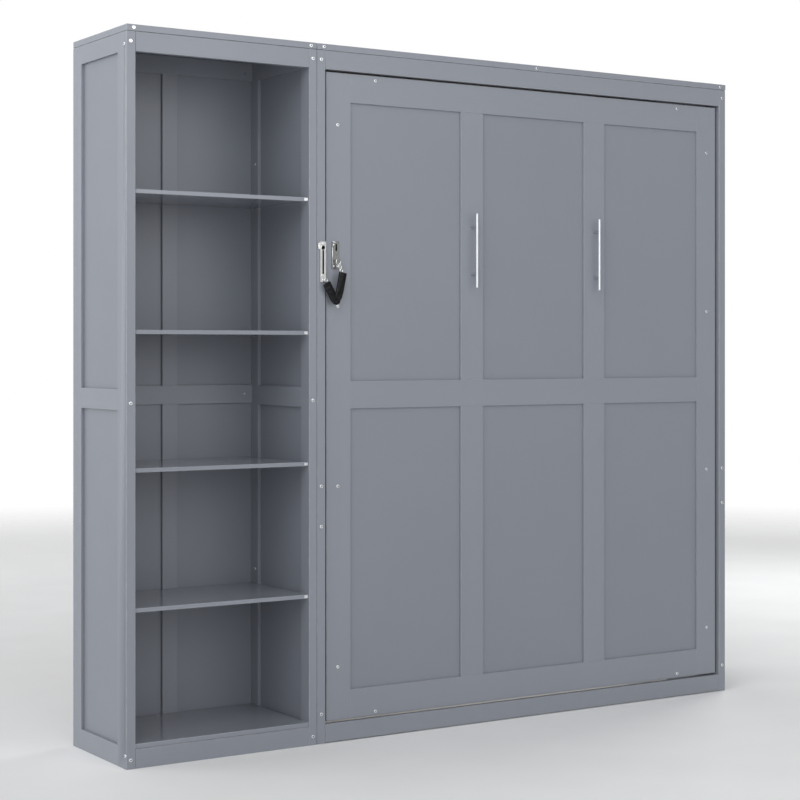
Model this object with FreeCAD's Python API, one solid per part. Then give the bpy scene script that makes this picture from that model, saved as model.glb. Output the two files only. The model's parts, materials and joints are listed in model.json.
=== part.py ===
import FreeCAD, Part
import math
import os

# Murphy wall bed with a side shelf unit, in millimetres.
#
# The pieces are laid out from the front left corner at floor level: x runs right from the
# shelf unit's left side, y runs back from the plane of the cabinet posts, z runs up from
# the floor. write_node() then moves every piece so that the origin is the middle of the
# bounding box at floor level. The bed is drawn folded up and closed.

# ---- driving dimensions: cabinet -------------------------------------------------------
HEIGHT = 2245.0
DEPTH = 408.0
TOP_THICK = 20.0
CARCASS_TOP = HEIGHT - TOP_THICK
SHELF_UNIT_WIDTH = 663.0
BED_UNIT_WIDTH = 1747.0
TOP_OVERHANG = 3.0
SIDE_THICK = 30.0
BACK_THICK = 24.0
SIDE_DEPTH = DEPTH - BACK_THICK
FRONT_STILE = 65.0
INNER_FRONT_STILE = 53.0
BACK_STILE = 41.0
SIDE_TOP_RAIL = 59.0
SIDE_MID_RAIL_Z = 1080.0
SIDE_MID_RAIL = 64.0
SIDE_BOTTOM_RAIL = 64.0
PANEL_THICK = 9.0
SIDE_RECESS = 10.0
GROOVE_DEPTH = 8.0
PANEL_END_GAP = 1.0
FRONT_RAIL_THICK = 20.0
HEADER_RAIL_Z = 2164.0
SHELF_KICK_TOP = 59.0
BED_KICK_BOTTOM = 3.0
BED_KICK_TOP = 62.0

# ---- driving dimensions: shelves -------------------------------------------------------
BOTTOM_BOARD_THICK = 15.0
BOTTOM_BOARD_SETBACK = 3.0
SHELF_THICK = 13.0
SHELF_TOPS = (482.0, 905.0, 1324.0, 1750.0)
SHELF_SETBACK = 7.0
SHELF_BACK_GAP = 2.0
SHELF_END_GAP = 0.5
PIN_RADIUS = 2.5
PIN_IN_WOOD = 10.0
PIN_PROUD = 8.0
CLIP_WIDTH = 14.0
CLIP_HEIGHT = 9.0
CLIP_THICK = 1.5
BACK_MUNTIN_X = 302.0
BACK_MUNTIN = 53.0
BACK_MID_RAIL_Z = 1085.0
BACK_MID_RAIL = 61.0
BACK_RECESS = 10.0

# ---- driving dimensions: bed back rails ------------------------------------------------
BACK_RAILS_Z = ((0.0, 80.0), (1080.0, 1180.0), (2105.0, 2225.0))
WALL_HOLE_RADIUS = 4.0
WALL_HOLE_Z = 2165.0
STUD_PITCH = 406.4

# ---- driving dimensions: door panel ----------------------------------------------------
DOOR_GAP = 9.5
DOOR_SETBACK = 10.0
DOOR_THICK = 22.0
DOOR_BOTTOM = 68.0
DOOR_TOP = 2158.0
DOOR_STILE = 91.0
DOOR_MUNTIN = 92.0
DOOR_FIELDS = 3
DOOR_BOTTOM_RAIL = 95.0
DOOR_TOP_RAIL = 94.0
DOOR_MID_RAIL_Z = 1073.0
DOOR_MID_RAIL = 89.0
DOOR_RECESS = 7.5

# ---- driving dimensions: bed frame behind the door -------------------------------------
BED_RAIL_THICK = 27.0
BED_RAIL_INSET = 29.0
BED_RAIL_DEPTH = 150.0
BED_HEAD_Z = 70.0
BED_FOOT_Z = 2154.0
BED_END_RAIL = 24.0
LEDGER = 25.0
SLAT_COUNT = 14
SLAT_WIDTH = 80.0
SLAT_THICK = 16.0
SLAT_END_GAP = 2.0

# ---- driving dimensions: folding mechanism ---------------------------------------------
PIVOT_Y = 70.0
PIVOT_Z = 310.0
STUD_FROM_PIVOT = (30.0, -74.0)
ANCHOR_Y = 125.0
ANCHOR_Z = 820.0
PLATE_THICK = 5.0
PIN_R = 8.0
RUNNING_GAP = 0.1
BEARING_R = 20.0
BEARING_BOSS = 8.0
BEARING_HALF_Y = 34.0
BEARING_HALF_Z = 60.0
ARM_FRONT_Y = 42.0
ARM_BACK_Y = 150.0
ARM_BOTTOM_Z = 205.0
ARM_TOP_Z = 430.0
MECH_BOARD_TOP = 860.0
STRUT_AXIS_FROM_SIDE = 19.0
EYE_RADIUS = 10.0
EYE_THICK = 10.0
EYE_STUD_R = 5.0
OPEN_PIVOT_GAP = 0.5
CYLINDER_R = 9.5
CYLINDER_END = 330.0
CYLINDER_WALL = 1.5
ROD_R = 4.0
ROD_IN_CYLINDER = 130.0
ANCHOR_PLATE_THICK = 3.0
ANCHOR_HALF_Y = 30.0
ANCHOR_HALF_Z = 35.0
STUD_END = 2.0
COLLAR = 3.0
ARM_CORNER = 20.0
ARM_SHOULDER = 10.0
ARM_TOP_INSET = 35.0
PIN_END_GAP = 1.0
CYLINDER_START = 7.0
CYLINDER_NECK = 16.0
CYLINDER_CAP = 8.0
EYE_CHEEK = 3.0
PISTON_LENGTH = 12.0
PISTON_GAP = 0.3
ROD_INTO_EYE = 5.0

# ---- driving dimensions: legs ----------------------------------------------------------
LEG_PIVOT_Y = 52.0
LEG_PIVOT_Z = 2100.0
LEG_THICK = 5.0
LEG_WIDTH = 22.0
LEG_REACH = 291.0
LEG_FROM_SIDE = 2.5
LEG_PIN_R = 4.0
LEG_PIN_HEAD_R = 8.0
LEG_EDGE = 0.6
LEG_PIN_HEAD = 1.2
FOOT_HEIGHT = 12.0
FOOT_PROUD = 1.0
LEG_BLOCK_DEPTH = 60.0
LEG_BLOCK_BOTTOM = 2040.0
LEG_PIN_STOP = 5.0
LEG_HOLE_STOP = 4.0

# ---- driving dimensions: fasteners and fittings ----------------------------------------
TINY = 1e-6
BOLT_HEAD_R = 6.0
BOLT_HEAD = 2.4
BOLT_EDGE_SHARE = 0.55
BOLT_SHANK_R = 3.0
BOLT_SHANK = 38.0
DOOR_BOLT_SHANK = 60.0
HEX_RADIUS = 2.3
HEX_DEPTH = 1.4
HEX_SIDES = 6
SCREW_HEAD_R = 4.0
SCREW_HEAD = 1.2
SCREW_SHANK_R = 2.0
SCREW_SHANK = 14.0
HOLE_CLEARANCE = 0.1
PULL_RADIUS = 5.5
PULL_LENGTH = 250.0
PULL_POST_R = 4.0
PULL_CENTRES = 160.0
PULL_STANDOFF = 30.0
PULL_Z = 1597.0
GUARD_PLATE_THICK = 3.0
TRACK_X = 670.5
TRACK_WIDTH = 21.0
TRACK_BOTTOM = 1480.0
TRACK_TOP = 1610.0
TRACK_PROUD = 7.0
TRACK_WALL = 1.5
TRACK_SLOT_HALF = 3.0
TRACK_SLOT_BOTTOM = 1498.0
TRACK_SLOT_TOP = 1590.0
TRACK_HOLE_R = 6.5
EAR_WIDTH = 7.0
EAR_THICK = 3.0
EAR_BOTTOM = 1586.0
EAR_TOP = 1606.0
EAR_HOLE_R = 2.0
ANCHOR_PLATE_X = 722.0
ANCHOR_PLATE_WIDTH = 26.0
ANCHOR_PLATE_BOTTOM = 1524.0
ANCHOR_PLATE_TOP = 1612.0
PLATE_SLOT_HALF = 3.0
PLATE_SLOT_BOTTOM = 1582.0
PLATE_SLOT_TOP = 1604.0
PLATE_SLOT_FLOOR = 1.0
SWIVEL_R = 2.5
SWIVEL_Z = 1550.0
SWIVEL_Y = -14.0
SWIVEL_HEAD_R = 4.5
SWIVEL_HEAD = 1.8
SLEEVE_HALF = 14.5
SLEEVE_FRONT = -21.5
SLEEVE_BACK = -10.5
CHAIN_Y = -11.0
LINK_WIRE_R = 1.5
LINK_RADIUS = 5.0
SWIVEL_RING_R = 8.0
LINK_PLAY = 0.3
LINKS = 4
SLIDER_R = 6.0
SLIDER_FRONT = -11.5
SLIDER_BACK = -7.5
SLIDER_Z = 1500.0
SLIDER_LINK = (687.5, 1486.5)

# ---- values that follow ---------------------------------------------------------------
TOTAL_WIDTH = SHELF_UNIT_WIDTH + BED_UNIT_WIDTH + TOP_OVERHANG
BED_LEFT = SHELF_UNIT_WIDTH
BED_RIGHT = SHELF_UNIT_WIDTH + BED_UNIT_WIDTH
BED_INNER_LEFT = BED_LEFT + SIDE_THICK
BED_INNER_RIGHT = BED_RIGHT - SIDE_THICK
BED_MIDDLE = (BED_LEFT + BED_RIGHT) / 2
SHELF_INNER_LEFT = SIDE_THICK
SHELF_INNER_RIGHT = SHELF_UNIT_WIDTH - SIDE_THICK
DOOR_LEFT = BED_INNER_LEFT + DOOR_GAP
DOOR_RIGHT = BED_INNER_RIGHT - DOOR_GAP
DOOR_BACK = DOOR_SETBACK + DOOR_THICK
RAIL_OUTER_LEFT = DOOR_LEFT + BED_RAIL_INSET
RAIL_OUTER_RIGHT = DOOR_RIGHT - BED_RAIL_INSET
RAIL_INNER_LEFT = RAIL_OUTER_LEFT + BED_RAIL_THICK
RAIL_INNER_RIGHT = RAIL_OUTER_RIGHT - BED_RAIL_THICK
BED_RAIL_BACK = DOOR_BACK + BED_RAIL_DEPTH
BED_HEAD_TOP = BED_HEAD_Z + BED_END_RAIL
BED_FOOT_BOTTOM = BED_FOOT_Z - BED_END_RAIL
PULL_Y = DOOR_SETBACK - PULL_STANDOFF
STUD_Y = PIVOT_Y + STUD_FROM_PIVOT[0]
STUD_Z = PIVOT_Z + STUD_FROM_PIVOT[1]
ORIGIN = FreeCAD.Vector((TOTAL_WIDTH - BOLT_HEAD) / 2, (PULL_Y - PULL_RADIUS + DEPTH) / 2, 0)
X_AXIS = FreeCAD.Vector(1, 0, 0)
Y_AXIS = FreeCAD.Vector(0, 1, 0)
Z_AXIS = FreeCAD.Vector(0, 0, 1)

# Bolt heads seen from the front, as (x, z), grouped by the piece they enter.
BOLT_TOP_Z = CARCASS_TOP + TOP_THICK / 2
SHELF_TOP_BOLTS = [(24.0, BOLT_TOP_Z), (640.0, BOLT_TOP_Z)]
BED_TOP_BOLTS = [(688.0, BOLT_TOP_Z), (1540.0, BOLT_TOP_Z), (2387.0, BOLT_TOP_Z)]
SHELF_POST_BOLTS = [(x, z) for x in (14.0, 647.0) for z in (28.0, 1102.0, 2194.0)]
BED_POST_BOLTS = [(x, z) for x in (678.0, 2395.0) for z in (96.0, 697.0, 826.0, 2194.0)]
SIDE_FACE_BOLTS = [(7.0, 41.0), (14.0, 2186.0)]
DOOR_RAIL_BOLTS = [(x, z) for x in (DOOR_LEFT + 42.5, DOOR_RIGHT - 42.5)
                   for z in (240.0, 823.0, 1404.0, 1989.0)]
DOOR_END_BOLTS = [(x, z) for x in (DOOR_LEFT + 186.0, DOOR_RIGHT - 186.0)
                  for z in (BED_HEAD_Z + 12.0, BED_FOOT_Z - 12.0)]
BACK_SCREWS = [(605.0, 1115.0), (605.0, 2189.0), (58.0, 1115.0), (58.0, 2189.0)]
JOINING_Y = SIDE_DEPTH - BACK_STILE / 2
JOINING_BOLTS = [(JOINING_Y, 529.0), (JOINING_Y, 1885.0)]


# ---- small helpers ---------------------------------------------------------------------
def box(x0, x1, y0, y1, z0, z1):
    return Part.makeBox(x1 - x0, y1 - y0, z1 - z0, FreeCAD.Vector(x0, y0, z0))


def rod_x(x0, x1, y, z, radius):
    return Part.makeCylinder(radius, x1 - x0, FreeCAD.Vector(x0, y, z), X_AXIS)


def rod_y(x, y0, y1, z, radius):
    return Part.makeCylinder(radius, y1 - y0, FreeCAD.Vector(x, y0, z), Y_AXIS)


def rod_z(x, y, z0, z1, radius):
    return Part.makeCylinder(radius, z1 - z0, FreeCAD.Vector(x, y, z0), Z_AXIS)


def drilled(solid, tools):
    """The solid with every hole that touches it cut out."""
    near = [tool for tool in tools if solid.BoundBox.intersect(tool.BoundBox)]
    return solid.cut(near) if near else solid


def write_node(name, solids):
    shape = Part.makeCompound(solids)
    shape.translate(-ORIGIN)
    shape.exportStep("parts/" + name + ".step")


def mirrored(solid):
    """The same piece on the other side of the bed."""
    return solid.mirror(FreeCAD.Vector(BED_MIDDLE, 0, 0), X_AXIS)


# ---- fasteners -------------------------------------------------------------------------
def bolt(shank_radius, shank, head_radius, head):
    """A bolt along +Z: head below z = 0 with a hex socket, shank above."""
    dome = Part.makeCylinder(head_radius, head, FreeCAD.Vector(0, 0, -head))
    outer_rim = [edge for edge in dome.Edges if abs(edge.BoundBox.ZMax + head) < TINY]
    dome = dome.makeFillet(head * BOLT_EDGE_SHARE, outer_rim[:1])
    shaft = Part.makeCylinder(shank_radius, shank)
    corners = [FreeCAD.Vector(HEX_RADIUS * math.cos(math.tau * i / HEX_SIDES),
                              HEX_RADIUS * math.sin(math.tau * i / HEX_SIDES), -head)
               for i in range(HEX_SIDES + 1)]
    socket = Part.Face(Part.makePolygon(corners)).extrude(FreeCAD.Vector(0, 0, HEX_DEPTH))
    return dome.fuse(shaft).cut(socket).removeSplitter()


def turned_to_y(shape, x, y, z):
    shape = shape.copy()
    shape.rotate(FreeCAD.Vector(0, 0, 0), X_AXIS, -90)
    shape.translate(FreeCAD.Vector(x, y, z))
    return shape


def turned_to_x(shape, x, y, z):
    shape = shape.copy()
    shape.rotate(FreeCAD.Vector(0, 0, 0), Y_AXIS, 90)
    shape.translate(FreeCAD.Vector(x, y, z))
    return shape


CABINET_BOLT = bolt(BOLT_SHANK_R, BOLT_SHANK, BOLT_HEAD_R, BOLT_HEAD)
DOOR_BOLT = bolt(BOLT_SHANK_R, DOOR_BOLT_SHANK, BOLT_HEAD_R, BOLT_HEAD)
SCREW = Part.makeCylinder(SCREW_HEAD_R, SCREW_HEAD, FreeCAD.Vector(0, 0, -SCREW_HEAD)).fuse(
    Part.makeCylinder(SCREW_SHANK_R, SCREW_SHANK))


def front_bolts(places):
    return [turned_to_y(CABINET_BOLT, x, 0, z) for x, z in places]


def front_holes(places):
    radius = BOLT_SHANK_R + HOLE_CLEARANCE
    return [rod_y(x, 0, BOLT_SHANK + HOLE_CLEARANCE, z, radius) for x, z in places]


def door_bolts():
    places = DOOR_RAIL_BOLTS + DOOR_END_BOLTS
    return [turned_to_y(DOOR_BOLT, x, DOOR_SETBACK, z) for x, z in places]


def door_holes():
    radius = BOLT_SHANK_R + HOLE_CLEARANCE
    end = DOOR_SETBACK + DOOR_BOLT_SHANK + HOLE_CLEARANCE
    return [rod_y(x, DOOR_SETBACK, end, z, radius) for x, z in DOOR_RAIL_BOLTS + DOOR_END_BOLTS]


def shelf_unit_bolts():
    bolts = front_bolts(SHELF_TOP_BOLTS + SHELF_POST_BOLTS)
    bolts += [turned_to_x(CABINET_BOLT, 0, y, z) for y, z in SIDE_FACE_BOLTS]
    bolts += [turned_to_y(SCREW, x, SIDE_DEPTH, z) for x, z in BACK_SCREWS]
    bolts += [turned_to_x(CABINET_BOLT, SHELF_INNER_RIGHT, y, z) for y, z in JOINING_BOLTS]
    return bolts


def side_face_holes():
    radius = BOLT_SHANK_R + HOLE_CLEARANCE
    return [rod_x(0, BOLT_SHANK + HOLE_CLEARANCE, y, z, radius) for y, z in SIDE_FACE_BOLTS]


def joining_holes():
    radius = BOLT_SHANK_R + HOLE_CLEARANCE
    end = SHELF_INNER_RIGHT + BOLT_SHANK + HOLE_CLEARANCE
    return [rod_x(SHELF_INNER_RIGHT, end, y, z, radius) for y, z in JOINING_BOLTS]


# ---- side frames: two stiles, three rails and two thin panels each -----------------------
def side_groove(x_outer, inward):
    """The groove that holds the thin panels, as the x range it takes from a side frame."""
    near = x_outer + inward * SIDE_RECESS
    far = near + inward * PANEL_THICK
    return min(near, far), max(near, far)


def side_fields():
    """Lower and upper panel heights of a side frame."""
    lower = (SIDE_BOTTOM_RAIL, SIDE_MID_RAIL_Z)
    upper = (SIDE_MID_RAIL_Z + SIDE_MID_RAIL, CARCASS_TOP - SIDE_TOP_RAIL)
    return lower, upper


def side_frame(x_outer, inward, front_stile, back_stile, depth, holes):
    """Stiles, rails and panels of one cabinet side, whose outer face is at x_outer."""
    x_inner = x_outer + inward * SIDE_THICK
    x0, x1 = min(x_outer, x_inner), max(x_outer, x_inner)
    g0, g1 = side_groove(x_outer, inward)
    back = depth - back_stile
    grooves = []
    panels = []
    for z0, z1 in side_fields():
        grooves.append(box(g0, g1, front_stile - GROOVE_DEPTH, back + GROOVE_DEPTH,
                           z0 - GROOVE_DEPTH, z1 + GROOVE_DEPTH))
        edge = GROOVE_DEPTH - PANEL_END_GAP
        panels.append(box(g0, g1, front_stile - edge, back + edge, z0 - edge, z1 + edge))
    stiles = [box(x0, x1, 0, front_stile, 0, CARCASS_TOP),
              box(x0, x1, back, depth, 0, CARCASS_TOP)]
    rails = [box(x0, x1, front_stile, back, 0, SIDE_BOTTOM_RAIL),
             box(x0, x1, front_stile, back, SIDE_MID_RAIL_Z, SIDE_MID_RAIL_Z + SIDE_MID_RAIL),
             box(x0, x1, front_stile, back, CARCASS_TOP - SIDE_TOP_RAIL, CARCASS_TOP)]
    stiles = [drilled(stile, grooves + holes) for stile in stiles]
    rails = [drilled(rail, grooves) for rail in rails]
    return stiles, rails, panels


# ---- shelf unit ------------------------------------------------------------------------
def shelf_pin_places():
    """(y, z) of the support pins under every shelf, in the front and back stiles."""
    rows = []
    for top in SHELF_TOPS:
        z = top - SHELF_THICK - PIN_RADIUS
        rows += [(INNER_FRONT_STILE / 2, z), (SIDE_DEPTH - BACK_STILE / 2, z)]
    return rows


def shelf_pins():
    pins = []
    for y, z in shelf_pin_places():
        pins.append(rod_x(SHELF_INNER_LEFT - PIN_IN_WOOD, SHELF_INNER_LEFT + PIN_PROUD,
                          y, z, PIN_RADIUS))
        pins.append(rod_x(SHELF_INNER_RIGHT - PIN_PROUD, SHELF_INNER_RIGHT + PIN_IN_WOOD,
                          y, z, PIN_RADIUS))
    return pins


def shelf_pin_holes():
    radius = PIN_RADIUS + HOLE_CLEARANCE
    depth = PIN_IN_WOOD + HOLE_CLEARANCE
    holes = []
    for y, z in shelf_pin_places():
        holes.append(rod_x(SHELF_INNER_LEFT - depth, SHELF_INNER_LEFT, y, z, radius))
        holes.append(rod_x(SHELF_INNER_RIGHT, SHELF_INNER_RIGHT + depth, y, z, radius))
    return holes


def shelf(top):
    return box(SHELF_INNER_LEFT + SHELF_END_GAP, SHELF_INNER_RIGHT - SHELF_END_GAP,
               SHELF_SETBACK, SIDE_DEPTH - SHELF_BACK_GAP, top - SHELF_THICK, top)


def shelf_clip(top):
    """A thin steel plate on the front edge of a shelf, at its right end."""
    x1 = SHELF_INNER_RIGHT - SHELF_END_GAP
    middle = top - SHELF_THICK / 2
    return box(x1 - CLIP_WIDTH, x1, SHELF_SETBACK - CLIP_THICK, SHELF_SETBACK,
               middle - CLIP_HEIGHT / 2, middle + CLIP_HEIGHT / 2)


def shelf_back():
    """Frame pieces and thin panels of the shelf unit's back."""
    y0, y1 = SIDE_DEPTH, DEPTH
    g0 = y0 + BACK_RECESS
    g1 = g0 + PANEL_THICK
    columns = [(SIDE_THICK, BACK_MUNTIN_X), (BACK_MUNTIN_X + BACK_MUNTIN, SHELF_INNER_RIGHT)]
    mid_top = BACK_MID_RAIL_Z + BACK_MID_RAIL
    rows = [(SIDE_BOTTOM_RAIL, BACK_MID_RAIL_Z), (mid_top, CARCASS_TOP - SIDE_TOP_RAIL)]
    grooves = []
    panels = []
    edge = GROOVE_DEPTH - PANEL_END_GAP
    for x0, x1 in columns:
        for z0, z1 in rows:
            grooves.append(box(x0 - GROOVE_DEPTH, x1 + GROOVE_DEPTH, g0, g1,
                               z0 - GROOVE_DEPTH, z1 + GROOVE_DEPTH))
            panels.append(box(x0 - edge, x1 + edge, g0, g1, z0 - edge, z1 + edge))
    frame = [box(0, SIDE_THICK, y0, y1, 0, CARCASS_TOP),
             box(SHELF_INNER_RIGHT, SHELF_UNIT_WIDTH, y0, y1, 0, CARCASS_TOP),
             box(SIDE_THICK, SHELF_INNER_RIGHT, y0, y1, 0, SIDE_BOTTOM_RAIL),
             box(SIDE_THICK, SHELF_INNER_RIGHT, y0, y1, BACK_MID_RAIL_Z, mid_top),
             box(SIDE_THICK, SHELF_INNER_RIGHT, y0, y1, rows[1][1], CARCASS_TOP)]
    for z0, z1 in rows:
        frame.append(box(BACK_MUNTIN_X, BACK_MUNTIN_X + BACK_MUNTIN, y0, y1, z0, z1))
    radius = SCREW_SHANK_R + HOLE_CLEARANCE
    end = SIDE_DEPTH + SCREW_SHANK + HOLE_CLEARANCE
    screw_holes = [rod_y(x, SIDE_DEPTH, end, z, radius) for x, z in BACK_SCREWS]
    return [drilled(piece, grooves + screw_holes) for piece in frame], panels


def wall_holes():
    """Holes through the top back rail, one wall stud apart, for the screws into the wall."""
    xs = [BED_MIDDLE + STUD_PITCH * step for step in (-1.5, -0.5, 0.5, 1.5)]
    return [rod_y(x, SIDE_DEPTH, DEPTH, WALL_HOLE_Z, WALL_HOLE_RADIUS) for x in xs]


def build_shelf_unit():
    holes = front_holes(SHELF_POST_BOLTS) + side_face_holes()
    holes += shelf_pin_holes() + joining_holes()
    left = side_frame(0, 1, FRONT_STILE, BACK_STILE, SIDE_DEPTH, holes)
    right = side_frame(SHELF_UNIT_WIDTH, -1, INNER_FRONT_STILE, BACK_STILE, SIDE_DEPTH, holes)
    for side, pieces in (("left", left), ("right", right)):
        for kind, solids in zip(("stiles", "rails", "panels"), pieces):
            write_node("shelf_" + side + "_" + kind, solids)
    frame, panels = shelf_back()
    write_node("shelf_back_frame", frame)
    write_node("shelf_back_panels", panels)
    top = box(0, SHELF_UNIT_WIDTH, 0, DEPTH, CARCASS_TOP, HEIGHT)
    write_node("shelf_top_board", [drilled(top, front_holes(SHELF_TOP_BOLTS))])
    rail_holes = side_face_holes()
    header = box(SHELF_INNER_LEFT, SHELF_INNER_RIGHT, 0, FRONT_RAIL_THICK,
                 HEADER_RAIL_Z, CARCASS_TOP)
    kick = box(SHELF_INNER_LEFT, SHELF_INNER_RIGHT, 0, FRONT_RAIL_THICK, 0, SHELF_KICK_TOP)
    write_node("shelf_header_rail", [drilled(header, rail_holes)])
    write_node("shelf_kick_rail", [drilled(kick, rail_holes)])
    bottom = box(SHELF_INNER_LEFT, SHELF_INNER_RIGHT, BOTTOM_BOARD_SETBACK, SIDE_DEPTH,
                 SHELF_KICK_TOP, SHELF_KICK_TOP + BOTTOM_BOARD_THICK)
    write_node("shelf_bottom_board", [bottom])
    for number, height in enumerate(SHELF_TOPS, start=1):
        write_node("shelf_%d" % number, [shelf(height)])
    write_node("shelf_pins", shelf_pins())
    write_node("shelf_clips", [shelf_clip(height) for height in SHELF_TOPS])
    write_node("shelf_unit_bolts", shelf_unit_bolts())


# ---- bed cabinet -----------------------------------------------------------------------
def mechanism_board():
    """The board that fills the lower field of the left side and carries the bearing."""
    x1 = BED_INNER_LEFT
    x0 = x1 - (SIDE_THICK - SIDE_RECESS - PANEL_THICK)
    board = box(x0, x1, FRONT_STILE, DEPTH - FRONT_STILE, SIDE_BOTTOM_RAIL, MECH_BOARD_TOP)
    return drilled(board, [bearing_pin_hole()])


def bearing_pin_hole():
    """Room for the pivot pin's end, through the bearing plate and into the side."""
    return rod_x(BED_INNER_LEFT - PLATE_THICK, BED_INNER_LEFT + PLATE_THICK + BEARING_BOSS,
                 PIVOT_Y, PIVOT_Z, PIN_R + RUNNING_GAP)


def bearing_plate():
    x0 = BED_INNER_LEFT
    plate = box(x0, x0 + PLATE_THICK, PIVOT_Y - BEARING_HALF_Y, PIVOT_Y + BEARING_HALF_Y,
                PIVOT_Z - BEARING_HALF_Z, PIVOT_Z + BEARING_HALF_Z)
    boss = rod_x(x0 + PLATE_THICK, x0 + PLATE_THICK + BEARING_BOSS, PIVOT_Y, PIVOT_Z, BEARING_R)
    return plate.fuse(boss).cut(bearing_pin_hole()).removeSplitter()


def strut_anchor():
    """Plate and stud on the cabinet side that carry the strut's upper eye."""
    x0 = BED_INNER_LEFT
    x1 = x0 + ANCHOR_PLATE_THICK
    end = x0 + STRUT_AXIS_FROM_SIDE + EYE_THICK / 2 + STUD_END
    plate = box(x0, x1, ANCHOR_Y - ANCHOR_HALF_Y, ANCHOR_Y + ANCHOR_HALF_Y,
                ANCHOR_Z - ANCHOR_HALF_Z, ANCHOR_Z + ANCHOR_HALF_Z)
    stud = rod_x(x1, end, ANCHOR_Y, ANCHOR_Z, EYE_STUD_R)
    collar_end = x0 + STRUT_AXIS_FROM_SIDE - EYE_THICK / 2 - OPEN_PIVOT_GAP
    collar = rod_x(x1, collar_end, ANCHOR_Y, ANCHOR_Z, EYE_STUD_R + COLLAR)
    return plate.fuse([stud, collar]).removeSplitter()


def bed_back_rails():
    rails = [box(BED_INNER_LEFT, BED_INNER_RIGHT, SIDE_DEPTH, DEPTH, z0, z1)
             for z0, z1 in BACK_RAILS_Z]
    return [drilled(rail, wall_holes()) for rail in rails]


def guard_track():
    """Slotted track of the door guard: a shallow channel with a round entry and a screw ear."""
    x0, x1 = TRACK_X, TRACK_X + TRACK_WIDTH
    middle = (x0 + x1) / 2
    shell = box(x0, x1, -TRACK_PROUD, 0, TRACK_BOTTOM, TRACK_TOP)
    hollow = box(x0 + TRACK_WALL, x1 - TRACK_WALL, -TRACK_PROUD + TRACK_WALL, -TRACK_WALL,
                 TRACK_BOTTOM + TRACK_WALL, TRACK_TOP - TRACK_WALL)
    slot = box(middle - TRACK_SLOT_HALF, middle + TRACK_SLOT_HALF, -TRACK_PROUD,
               -TRACK_PROUD + TRACK_WALL, TRACK_SLOT_BOTTOM, TRACK_SLOT_TOP)
    entry = rod_y(middle, -TRACK_PROUD, -TRACK_PROUD + TRACK_WALL, TRACK_SLOT_TOP, TRACK_HOLE_R)
    ear = box(x0 - EAR_WIDTH, x0, -EAR_THICK, 0, EAR_BOTTOM, EAR_TOP)
    ear_hole = rod_y(x0 - EAR_WIDTH / 2, -EAR_THICK, 0, (EAR_BOTTOM + EAR_TOP) / 2, EAR_HOLE_R)
    return shell.cut([hollow, slot, entry]).fuse(ear).cut(ear_hole).removeSplitter()


def build_bed_cabinet():
    holes = front_holes(BED_POST_BOLTS) + joining_holes()
    pin_holes = [bearing_pin_hole(), mirrored(bearing_pin_hole())]
    left = side_frame(BED_LEFT, 1, FRONT_STILE, FRONT_STILE, DEPTH, holes + pin_holes)
    right = side_frame(BED_RIGHT, -1, FRONT_STILE, FRONT_STILE, DEPTH, holes + pin_holes)
    for side, pieces in (("left", left), ("right", right)):
        for kind, solids in zip(("stiles", "rails", "panels"), pieces):
            write_node("bed_" + side + "_" + kind, solids)
    top = box(BED_LEFT, TOTAL_WIDTH, 0, DEPTH, CARCASS_TOP, HEIGHT)
    write_node("bed_top_board", [drilled(top, front_holes(BED_TOP_BOLTS))])
    write_node("bed_header_rail", [box(BED_INNER_LEFT, BED_INNER_RIGHT, 0, FRONT_RAIL_THICK,
                                       HEADER_RAIL_Z, CARCASS_TOP)])
    write_node("bed_kick_rail", [box(BED_INNER_LEFT, BED_INNER_RIGHT, 0, FRONT_RAIL_THICK,
                                     BED_KICK_BOTTOM, BED_KICK_TOP)])
    write_node("bed_back_rails", bed_back_rails())
    write_node("mechanism_boards", [mechanism_board(), mirrored(mechanism_board())])
    write_node("bearing_plates", [bearing_plate(), mirrored(bearing_plate())])
    write_node("strut_anchors", [strut_anchor(), mirrored(strut_anchor())])
    write_node("bed_unit_bolts", front_bolts(BED_TOP_BOLTS + BED_POST_BOLTS))
    write_node("guard_track", [guard_track()])


# ---- door panel on the bed's underside ---------------------------------------------------
def door_columns():
    """x ranges of the three fields between the stiles and muntins."""
    clear = DOOR_RIGHT - DOOR_LEFT - 2 * DOOR_STILE - (DOOR_FIELDS - 1) * DOOR_MUNTIN
    width = clear / DOOR_FIELDS
    first = DOOR_LEFT + DOOR_STILE
    starts = [first + i * (width + DOOR_MUNTIN) for i in range(DOOR_FIELDS)]
    return [(start, start + width) for start in starts]


def door_rows():
    lower = (DOOR_BOTTOM + DOOR_BOTTOM_RAIL, DOOR_MID_RAIL_Z)
    upper = (DOOR_MID_RAIL_Z + DOOR_MID_RAIL, DOOR_TOP - DOOR_TOP_RAIL)
    return [lower, upper]


def muntin_centres():
    columns = door_columns()
    return [(columns[i][1] + columns[i + 1][0]) / 2 for i in range(DOOR_FIELDS - 1)]


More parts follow.
